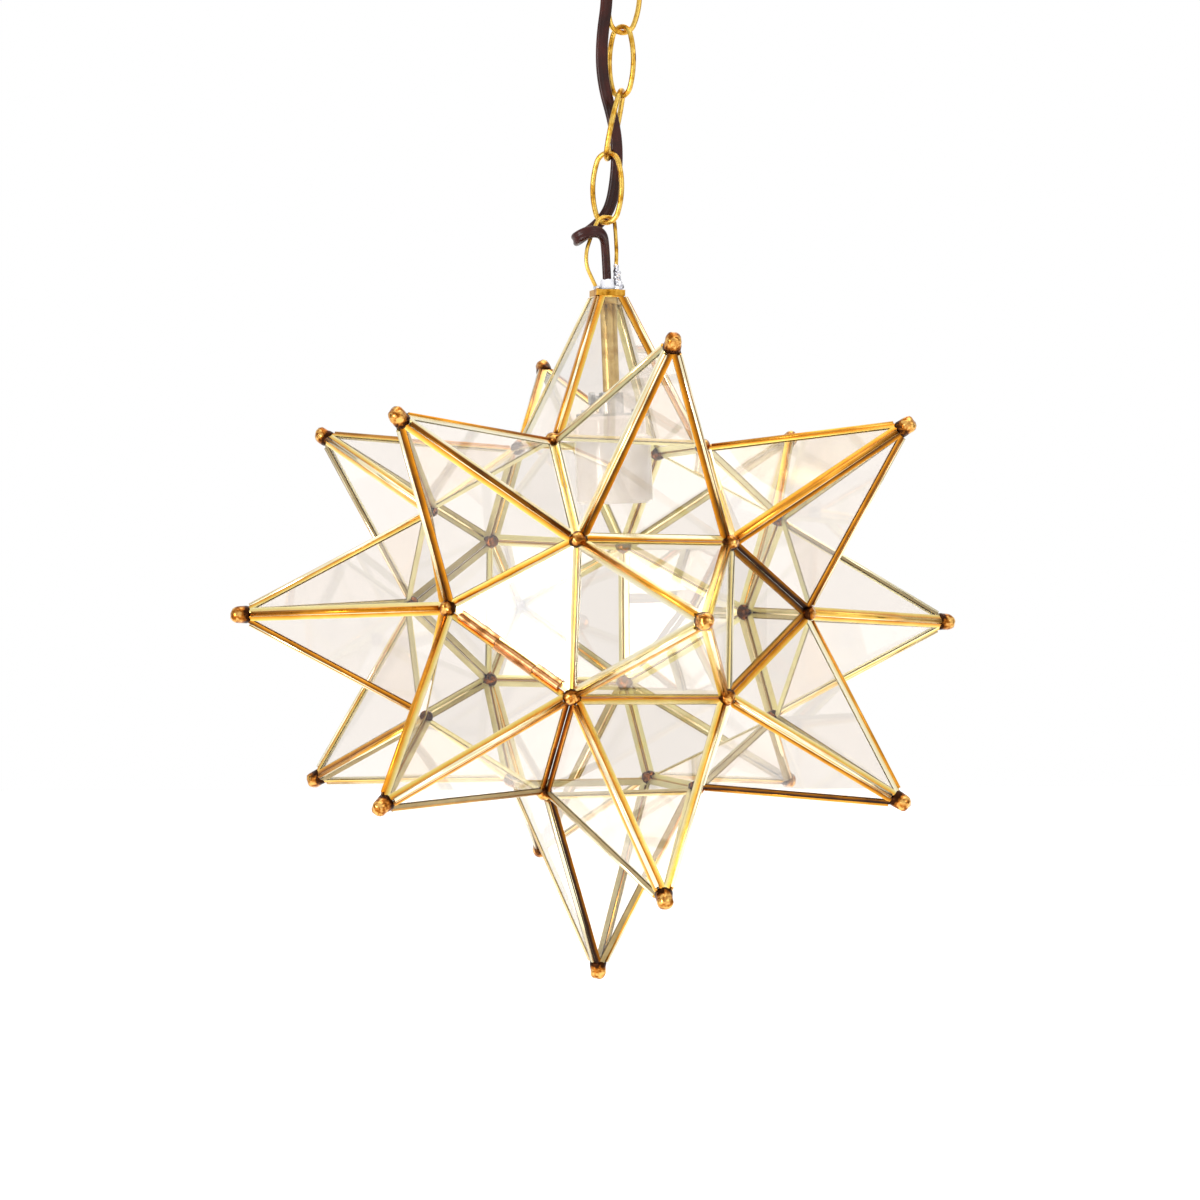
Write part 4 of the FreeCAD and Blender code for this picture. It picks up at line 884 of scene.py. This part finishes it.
    def cap(self, shape: bmesh.types.BMesh, tip: Vector, axis: Vector, seed: float) -> None:
        """Add one rounded solder cap over the end of a point.

        Args:
            shape: The bmesh that gets it.
            tip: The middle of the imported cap's small end.
            axis: The point's direction.
            seed: Makes each cap different.
        """
        foot = shape.verts.layers.float["foot"]
        before = set(shape.verts)
        profile = ((0.02, 0.0), (1.7, -0.15), (3.0, -0.8), (3.8, -2.0), (4.1, -3.4), (4.1, -4.8),
                   (4.25, -6.4), (4.45, -8.0), (4.2, -9.2), (0.02, -9.6))
        verts = [shape.verts.new((radius * MM, 0, height * MM)) for radius, height in profile]
        edges = [shape.edges.new(pair) for pair in zip(verts, verts[1:])]
        bmesh.ops.spin(shape, geom=verts + edges, cent=(0, 0, 0), axis=(0, 0, 1), angle=2 * math.pi, steps=28,
                       use_merge=True)
        bmesh.ops.remove_doubles(shape, verts=[vert for vert in shape.verts if vert not in before],
                                 dist=0.05 * MM)
        ring = [vert for vert in shape.verts if vert not in before]
        # foot: painted shade with brown flux residue, growing towards the cap's base on the point.
        for vert in ring:
            vert[foot] = min(max((-vert.co.z / MM - 4.6) / 3.8, 0.0), 1.0)
        turn = axis.to_track_quat("Z", "Y").to_matrix().to_4x4()
        bmesh.ops.transform(shape, matrix=Matrix.Translation(tip) @ turn, verts=ring)
        roughen(ring, tip - axis * 4.2 * MM, 0.6 * MM, 3.6 * MM, seed + 11)
        roughen(ring, tip - axis * 4.2 * MM, 0.2 * MM, 1.3 * MM, seed + 70)

    def cap_places(self, node: str) -> list[tuple[Vector, Vector]]:
        """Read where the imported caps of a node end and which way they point."""
        packed, found = merged_copy(node), []
        for group in islands(packed):
            ends = sorted({face for vert in group for face in vert.link_faces if len(face.verts) > 6},
                          key=lambda face: face.calc_area())
            tip, back = ends[0].calc_center_median(), ends[-1].calc_center_median()
            found.append((tip, (tip - back).normalized()))
        packed.free()
        return found

    def build_caps(self) -> None:
        """Make the solder caps of the fixed points and of the one that opens."""
        for name, node, body in (("point_solder_caps", "tip_caps", "star"),
                                 ("door_solder_cap", "door_tip_cap", "door")):
            shape = bmesh.new()
            shape.verts.layers.float.new("foot")
            for number, (tip, axis) in enumerate(self.cap_places(node)):
                self.cap(shape, tip, axis, number)
            bmesh.ops.recalc_face_normals(shape, faces=shape.faces)
            object_from(name, shape, self.paints.of(Finish.BEAD), body, (node,))

    def build(self, frame: dict) -> None:
        """Make and dress the whole star."""
        self.build_strips(frame)
        self.dress_panes(frame)
        self.build_beads()
        self.build_caps()
        for node in ("hinge_fixed_knuckles", "hinge_pin", "hinge_door_knuckle", "door_finger_tab"):
            dress(node, self.paints.of(Finish.HINGE), 0.15 * MM)
        dress("top_collar", self.paints.of(Finish.COLLAR), 0.5 * MM, 3)


def lathe(profile: tuple[tuple[float, float], ...], steps: int = 48) -> bmesh.types.BMesh:
    """Spin a profile about the Z axis.

    Args:
        profile: Radius and height of each point, in millimetres.
        steps: Facets round the axis.

    Returns:
        The closed or open shell.
    """
    shape = bmesh.new()
    verts = [shape.verts.new((radius * MM, 0, height * MM)) for radius, height in profile]
    edges = [shape.edges.new(pair) for pair in zip(verts, verts[1:])]
    bmesh.ops.spin(shape, geom=verts + edges, cent=(0, 0, 0), axis=(0, 0, 1), angle=2 * math.pi, steps=steps,
                   use_merge=True)
    bmesh.ops.remove_doubles(shape, verts=shape.verts, dist=0.01 * MM)
    bmesh.ops.recalc_face_normals(shape, faces=shape.faces)
    return shape


@dataclass
class LampHolder:
    """Pipe, bushing, hub with thumb screw, bracket, ceramic body and shell, all leaning a little."""

    paints: Paints
    plate_top: float = 165.7 * MM
    lean_deg: float = 3.1

    def place(self) -> Matrix:
        """Return the leaning place of the pipe's frame, with zero at the plate's top face."""
        lean = Matrix.Rotation(math.radians(-self.lean_deg), 4, "Y")
        return Matrix.Translation(STAR_CENTRE + UP * self.plate_top) @ lean

    def bail_foot(self, height: float) -> Vector:
        """Return the middle of the bail's right leg at a height."""
        bail = merged_copy("hanging_bail")
        cut = bmesh.ops.bisect_plane(bail, geom=[*bail.verts, *bail.edges, *bail.faces],
                                     plane_co=(0, 0, height), plane_no=UP)["geom_cut"]
        middle = middle_of(item for item in cut if isinstance(item, bmesh.types.BMVert) and item.co.x > 0)
        bail.free()
        return middle

    def build_bushing(self) -> None:
        """Make the white bushing on the pipe's end and the bare solder beside it."""
        bushing = lathe(((2.6, 0.45), (4.0, 0.45), (4.1, 0.7), (4.1, 1.6), (3.9, 2.0), (3.55, 3.0), (3.3, 5.2),
                         (3.1, 5.6), (2.7, 5.65), (2.6, 5.4), (2.6, 0.45)), 40)
        bmesh.ops.transform(bushing, matrix=self.place(), verts=bushing.verts)
        object_from("white_bushing", bushing, self.paints.of(Finish.BUSHING), "star", ("cord_bushing",))
        shape = bmesh.new()
        top = STAR_CENTRE + UP * self.plate_top
        lumps = [(top + Vector((across, away, rise)) * MM, radius) for across, away, rise, radius in (
            (5.6, 1.2, 1.2, 2.6), (4.4, -1.8, 0.9, 1.9), (-6.2, -1.5, 1.0, 1.7))]
        for rise, radius in ((2.0, 2.6), (3.4, 2.4), (4.8, 2.2), (6.2, 2.0), (7.6, 1.9), (9.0, 1.75), (10.4, 1.6),
                             (11.8, 1.4), (13.0, 1.15)):
            lumps.append((self.bail_foot(top.z + rise * MM), radius))
        for number, (centre, radius) in enumerate(lumps):
            made = bmesh.ops.create_icosphere(shape, subdivisions=4, radius=radius * MM,
                                              matrix=Matrix.Translation(centre))
            roughen(made["verts"], centre, 0.7 * MM, 2.0 * MM, number + 5)
            roughen(made["verts"], centre, 0.25 * MM, 0.9 * MM, number + 25)
        object_from("plate_solder", shape, self.paints.of(Finish.SILVER_SOLDER), "star", ())

    def build_thumb_screw(self) -> None:
        """Make the thumb screw with a knurled head."""
        height = -61.6 + 6.0
        shape = bmesh.new()
        away = Matrix.Rotation(math.radians(-90), 4, "Y")
        start = -4.4
        made = bmesh.ops.create_cone(shape, cap_ends=True, segments=44, radius1=3.5 * MM, radius2=3.5 * MM,
                                     depth=2.4 * MM, matrix=Matrix.Translation(
                                         Vector((start - 5.0 - 1.2, 0, height)) * MM) @ away)
        for number, vert in enumerate(sorted(made["verts"], key=lambda v: math.atan2(v.co.z - height * MM, v.co.y))):
            if (number // 2) % 2:
                vert.co.y *= 0.92
                vert.co.z = height * MM + (vert.co.z - height * MM) * 0.92
        bmesh.ops.create_cone(shape, cap_ends=True, segments=24, radius1=1.6 * MM, radius2=1.6 * MM,
                              depth=5.0 * MM, matrix=Matrix.Translation(
                                  Vector((start - 2.5, 0, height)) * MM) @ away)
        bmesh.ops.transform(shape, matrix=self.place(), verts=shape.verts)
        piece = object_from("knurled_thumb_screw", shape, self.paints.of(Finish.STEEL), "star",
                            ("holder_thumb_screw",), smooth=False)
        add_modifier(piece, "BEVEL", width=0.12 * MM, segments=2, limit_method="ANGLE",
                     angle_limit=math.radians(40))

    def build(self) -> None:
        """Make and dress the whole holder."""
        self.build_bushing()
        self.build_thumb_screw()
        dress("stem_pipe", self.paints.of(Finish.TUBE), 0.2 * MM)
        dress("stem_nut", self.paints.of(Finish.TUBE), 0.3 * MM)
        dress("holder_bracket", self.paints.of(Finish.STEEL), 0.25 * MM)
        dress("holder_screws", self.paints.of(Finish.STEEL), 0.3 * MM)
        dress("socket_body", self.paints.of(Finish.CERAMIC), 0.5 * MM, 3)
        dress("socket_shell", self.paints.of(Finish.ALUMINIUM))
        dress("socket_contact", self.paints.of(Finish.WIRE), 0.1 * MM)


@dataclass
class WovenCord:
    """The flat two-core cord, in one piece for each place where the chain bends."""

    paints: Paints
    view_turn_deg: float = 14.65
    core_radius: float = 1.55 * MM
    core_spread: float = 1.6 * MM
    splits: tuple[int, ...] = (3, 6, 10)
    route: tuple[tuple[float, float, float], ...] = (
        (0.0, 0.0, 409.0), (0.0, 0.0, 378.5), (-3.4, -7.6, 366.0), (-4.6, -8.6, 352.0), (-4.2, -8.4, 334.0),
        (-1.8, -7.4, 316.0), (-5.0, -5.4, 292.0), (-4.0, -2.6, 272.0), (2.4, 0.2, 251.0), (4.2, 3.6, 236.0),
        (3.2, 6.6, 220.0), (0.6, 9.0, 208.0), (-5.4, 9.0, 200.0), (-13.0, 6.5, 194.0), (-17.2, -1.0, 190.5),
        (-16.4, -9.0, 191.5), (-9.4, -11.0, 195.0), (-2.6, -6.6, 194.5), (-1.1, -0.5, 186.5),
        (0.12, 0.0, 164.5))
    pieces: tuple[tuple[str, str, str, str], ...] = (
        ("cord_in_canopy", "cord_canopy", "ceiling", "top_link"),
        ("cord_past_top_link", "cord_upper", "top_link", "strand"),
        ("cord_through_strand", "cord_middle", "strand", "bottom_link"),
        ("cord_curl_to_bushing", "cord_lower", "bottom_link", "star"))
    pivots: dict[str, tuple[float, float]] = field(default_factory=lambda: {
        "cord_canopy": (-0.050, -0.064), "cord_upper": (-0.081, -0.096),
        "cord_middle": (-0.178, -0.194), "cord_lower": (-0.212, -0.226)})

    def control_points(self) -> list[Vector]:
        """Return the route's points in the lamp's frame."""
        turn = math.radians(self.view_turn_deg)
        across = Vector((math.cos(turn), -math.sin(turn), 0))
        away = Vector((math.sin(turn), math.cos(turn), 0))
        return [STAR_CENTRE + (across * r + away * a + UP * u) * MM for r, a, u in self.route]

    def centreline(self) -> list[Vector]:
        """Read points along the smooth NURBS line through the route."""
        curve = bpy.data.curves.new("cord_line", "CURVE")
        curve.dimensions = "3D"
        curve.resolution_u = 20
        spline = curve.splines.new("NURBS")
        points = self.control_points()
        spline.points.add(len(points) - 1)
        for point, place in zip(spline.points, points):
            point.co = (*place, 1.0)
        spline.order_u = 3
        spline.use_endpoint_u = True
        holder = bpy.data.objects.new("cord_line", curve)
        bpy.context.scene.collection.objects.link(holder)
        bpy.context.view_layer.update()
        mesh = bpy.data.meshes.new_from_object(holder)
        line = [vert.co.copy() for vert in mesh.vertices]
        bpy.data.objects.remove(holder)
        bpy.data.curves.remove(curve)
        bpy.data.meshes.remove(mesh)
        return line

    def cut_numbers(self, line: list[Vector]) -> list[int]:
        """Return which points of the line start and end the pieces."""
        points = self.control_points()
        cuts = [0]
        for split in self.splits:
            middle = (points[split] + points[split + 1]) / 2
            cuts.append(min(range(len(line)), key=lambda i: (line[i] - middle).length))
        return cuts + [len(line) - 1]

    def section(self) -> list[tuple[float, float]]:
        """Return the outline of two round cores side by side with a groove between them, in order."""
        outline = []
        for side in (1, -1):
            for step in range(11):
                angle = math.radians(-128 + 256 * step / 10)
                outline.append((side * (self.core_spread + self.core_radius * math.cos(angle)),
                                side * self.core_radius * math.sin(angle)))
        return outline

    def sweep(self, line: list[Vector]) -> tuple[bmesh.types.BMesh, list[list[bmesh.types.BMVert]]]:
        """Carry the section along the line without twisting it, with open ends.

        Args:
            line: The smooth centreline.

        Returns:
            The tube and its rings of points in order.
        """
        shape = bmesh.new()
        first = (line[1] - line[0]).normalized()
        wide = (RIGHT - first * RIGHT.dot(first)).normalized()
        thick = first.cross(wide)
        ring = [shape.verts.new(line[0] + wide * a + thick * b) for a, b in self.section()]
        edges = [shape.edges.new((ring[k - 1], ring[k])) for k in range(len(ring))]
        rings = [ring]
        ahead = first
        for number in range(1, len(line)):
            last = number == len(line) - 1
            new_ahead = ((line[number] - line[number - 1]) if last
                         else (line[number + 1] - line[number - 1])).normalized()
            turn = ahead.rotation_difference(new_ahead).to_matrix().to_4x4()
            made = bmesh.ops.extrude_edge_only(shape, edges=edges)["geom"]
            fresh = [item for item in made if isinstance(item, bmesh.types.BMVert)]
            edges = [item for item in made if isinstance(item, bmesh.types.BMEdge)
                     and all(vert in fresh for vert in item.verts)]
            move = Matrix.Translation(line[number]) @ turn @ Matrix.Translation(-line[number - 1])
            bmesh.ops.transform(shape, matrix=move, verts=fresh)
            rings.append(fresh)
            ahead = new_ahead
        return shape, rings

    def build(self) -> None:
        """Make the cord's pieces and declare each of them."""
        line = self.centreline()
        cuts = self.cut_numbers(line)
        for (name, node, upper, lower), start, end in zip(self.pieces, cuts, cuts[1:]):
            shape, rings = self.sweep(line)
            spare = [vert for ring in rings[:start] + rings[end + 1:] for vert in ring]
            bmesh.ops.delete(shape, geom=spare, context="VERTS")
            bmesh.ops.holes_fill(shape, edges=[edge for edge in shape.edges if edge.is_boundary])
            bmesh.ops.recalc_face_normals(shape, faces=shape.faces)
            data = bpy.data.meshes.new(name)
            for face in shape.faces:
                face.smooth = len(face.verts) == 4
                for edge in face.edges:
                    edge.smooth = edge.smooth and face.smooth
            shape.to_mesh(data)
            shape.free()
            data.materials.append(self.paints.of(Finish.CORD))
            piece = bpy.data.objects.new(name, data)
            bpy.context.scene.collection.objects.link(piece)
            high, low = self.pivots[node]
            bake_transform(piece, upper, lower, start=(0, 0, high), end=(0, 0, low))
            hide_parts(node)


@dataclass
class ChainAndCeiling:
    """Chain, bail and ceiling fitting."""

    paints: Paints

    def build(self) -> None:
        """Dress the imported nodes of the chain, the bail and the ceiling fitting."""
        for node in ("chain_link_bottom", "chain_links_woven", "chain_link_top", "hanging_bail"):
            dress(node, self.paints.of(Finish.WIRE))
        dress("canopy", self.paints.of(Finish.SPUN), 0.3 * MM)
        dress("canopy_loop", self.paints.of(Finish.SPUN), 0.3 * MM)
        for node in ("canopy_nipple", "canopy_locknuts", "mounting_strap"):
            dress(node, self.paints.of(Finish.STEEL), 0.2 * MM)


# ---- studio


@dataclass
class Studio:
    """Camera at the photograph's place, soft boxes, a pale floor and a white surround."""

    view_turn_deg: float = 14.654
    pitch_deg: float = 0.835
    roll_deg: float = 0.825
    star_in_view: tuple[float, float, float] = (1.394, 6.531, 1732.2)
    lens: float = 101.0
    floor_drop: float = 0.95

    def build_camera(self) -> None:
        """Put the camera where the photograph was taken from."""
        to_image = Matrix(((1, 0, 0), (0, 0, -1), (0, 1, 0)))
        turn = (to_image @ Matrix.Rotation(math.radians(self.pitch_deg), 3, "X")
                @ Matrix.Rotation(math.radians(self.roll_deg), 3, "Y")
                @ Matrix.Rotation(math.radians(self.view_turn_deg), 3, "Z"))
        place = STAR_CENTRE - turn.transposed() @ (Vector(self.star_in_view) * MM)
        axes = Matrix((turn[0], -turn[1], -turn[2])).transposed().to_4x4()
        data = bpy.data.cameras.new("photo_camera")
        data.lens, data.sensor_width = self.lens, 36.0
        data.clip_start, data.clip_end = 0.01, 50.0
        camera = bpy.data.objects.new("photo_camera", data)
        camera.matrix_world = Matrix.Translation(place) @ axes
        bpy.context.scene.collection.objects.link(camera)
        bpy.context.scene.camera = camera

    def soft_box(self, name: str, place: tuple[float, float, float], size: tuple[float, float],
                 radiance: float, colour: str = "#FFFFFF") -> None:
        """Add a rectangular lamp that faces the star.

        Args:
            name: The lamp's name.
            place: Where it stands, from the star's centre, in metres.
            size: Its width and height.
            radiance: How bright its face is, where 1 is white.
            colour: Its hex colour.
        """
        data = bpy.data.lights.new(name, "AREA")
        data.shape = "RECTANGLE"
        data.size, data.size_y = size
        data.energy = radiance * math.pi * size[0] * size[1]
        data.color = linear(colour)[:3]
        lamp = bpy.data.objects.new(name, data)
        lamp.location = STAR_CENTRE + Vector(place)
        lamp.rotation_mode = "QUATERNION"
        lamp.rotation_quaternion = (-Vector(place)).to_track_quat("-Z", "Y")
        bpy.context.scene.collection.objects.link(lamp)

    def dark_card(self, name: str, place: tuple[float, float, float], size: tuple[float, float],
                  material: bpy.types.Material) -> None:
        """Add a dark card that only reflections see, which gives bright metal its dark lines.

        Args:
            name: The card's name.
            place: Where it stands, from the star's centre, in metres.
            size: Its width and height.
            material: Its paper.
        """
        shape = bmesh.new()
        bmesh.ops.create_grid(shape, x_segments=1, y_segments=1, size=0.5)
        turn = (-Vector(place)).to_track_quat("Z", "Y").to_matrix().to_4x4()
        stretch = Matrix.Diagonal((size[0], size[1], 1.0, 1.0))
        bmesh.ops.transform(shape, matrix=Matrix.Translation(STAR_CENTRE + Vector(place)) @ turn @ stretch,
                            verts=shape.verts)
        data = bpy.data.meshes.new(name)
        shape.to_mesh(data)
        shape.free()
        data.materials.append(material)
        card = bpy.data.objects.new(name, data)
        bpy.context.scene.collection.objects.link(card)
        card.visible_camera = False
        card.visible_transmission = False
        card.visible_diffuse = False
        card.visible_shadow = False

    def build_cards(self) -> None:
        """Stand dark cards round the star."""
        material, tree, output = new_material("dark_card")
        shader = add_node(tree, "ShaderNodeBsdfDiffuse", {"Color": linear("#2A1608")})
        tree.links.new(shader.outputs[0], output.inputs["Surface"])
        self.dark_card("card_front_low", (0.25, -1.1, -0.9), (1.1, 0.25), material)
        self.dark_card("card_right", (1.4, -0.25, -0.1), (0.3, 1.3), material)
        self.dark_card("card_left", (-1.4, 0.3, 0.0), (0.25, 1.3), material)

    def build_floor(self) -> None:
        """Lay the pale floor, which shows white to the camera and still takes the star's shadow."""
        shape = bmesh.new()
        bmesh.ops.create_grid(shape, x_segments=1, y_segments=1, size=6.0,
                              matrix=Matrix.Translation((0, 0, -self.floor_drop)))
        data = bpy.data.meshes.new("studio_floor")
        shape.to_mesh(data)
        shape.free()
        material, tree, output = new_material("white_paper_floor")
        path = add_node(tree, "ShaderNodeLightPath")
        seen = add_node(tree, "ShaderNodeMath", {
            0: path.outputs["Is Camera Ray"], 1: path.outputs["Is Transmission Ray"]}, operation="MAXIMUM")
        shiny = add_node(tree, "ShaderNodeMath", {0: path.outputs["Is Glossy Ray"], 1: 0.35}, operation="MULTIPLY")
        glow = add_node(tree, "ShaderNodeMath", {0: seen.outputs[0], 1: 0.5, 2: shiny.outputs[0]},
                        operation="MULTIPLY_ADD")
        shader = add_node(tree, "ShaderNodeBsdfPrincipled", {
            "Base Color": linear("#F2F1EF"), "Roughness": 0.85,
            "Emission Color": linear("#FFFFFF"), "Emission Strength": glow.outputs[0]})
        tree.links.new(shader.outputs[0], output.inputs["Surface"])
        data.materials.append(material)
        floor = bpy.data.objects.new("studio_floor", data)
        bpy.context.scene.collection.objects.link(floor)

    def build_world(self) -> None:
        """Make the surround: white behind the lamp, and paler above than below for light and gloss."""
        world = bpy.data.worlds.new("studio")
        world.use_nodes = True
        bpy.context.scene.world = world
        tree = world.node_tree
        tree.nodes.clear()
        output = add_node(tree, "ShaderNodeOutputWorld")
        direction = add_node(tree, "ShaderNodeTexCoord").outputs["Generated"]
        height = add_node(tree, "ShaderNodeSeparateXYZ", {"Vector": direction}).outputs["Z"]
        share = add_node(tree, "ShaderNodeMapRange", {
            "Value": height, "From Min": -1.0, "From Max": 1.0, "To Min": 0.0, "To Max": 1.0})
        sky = ramp(tree, share.outputs["Result"], [
            (0.0, "#D9C3A6"), (0.30, "#EADFD0"), (0.46, "#F7F3EE"), (0.60, "#FFFFFF"), (1.0, "#FFFFFF")])
        path = add_node(tree, "ShaderNodeLightPath")
        seen = add_node(tree, "ShaderNodeMath", {
            0: path.outputs["Is Camera Ray"], 1: path.outputs["Is Transmission Ray"]}, operation="MAXIMUM")
        gloss = add_node(tree, "ShaderNodeMapRange", {
            "Value": path.outputs["Is Glossy Ray"], "To Min": 1.05, "To Max": 0.92})
        ambient = add_node(tree, "ShaderNodeBackground", {"Color": sky, "Strength": gloss.outputs["Result"]})
        white = add_node(tree, "ShaderNodeBackground", {"Color": linear("#FFFFFF"), "Strength": 1.0})
        mix = add_node(tree, "ShaderNodeMixShader", {
            0: seen.outputs[0], 1: ambient.outputs[0], 2: white.outputs[0]})
        tree.links.new(mix.outputs[0], output.inputs["Surface"])

    def build(self) -> None:
        """Set up the whole studio."""
        scene = bpy.context.scene
        scene.view_settings.view_transform = "Standard"
        scene.cycles.max_bounces = 24
        scene.cycles.transmission_bounces = 20
        scene.cycles.transparent_max_bounces = 24
        scene.cycles.caustics_reflective = False
        scene.cycles.caustics_refractive = False
        self.build_camera()
        self.build_world()
        self.build_floor()
        self.build_cards()
        self.soft_box("left_box", (-1.25, -0.85, -0.02), (0.45, 0.6), 11.0)
        self.soft_box("front_right_box", (0.95, -1.55, 0.75), (0.9, 0.7), 1.6)
        self.soft_box("top_box", (0.1, -0.1, 1.3), (1.2, 1.2), 1.2)
        self.soft_box("back_box", (0.6, 1.1, 1.35), (1.0, 0.8), 1.4, "#FFF6E8")


def main() -> None:
    """Build the lamp and its studio in order."""
    logging.basicConfig(level=logging.INFO, format="%(name)s %(message)s")
    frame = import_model()
    paints = Paints()
    Studio().build()
    WovenCord(paints).build()
    GlassStar(paints).build(frame)
    LampHolder(paints).build()
    ChainAndCeiling(paints).build()
    bpy.context.view_layer.update()
    LOG.info("boxes written")


if __name__ == "__main__":
    main()
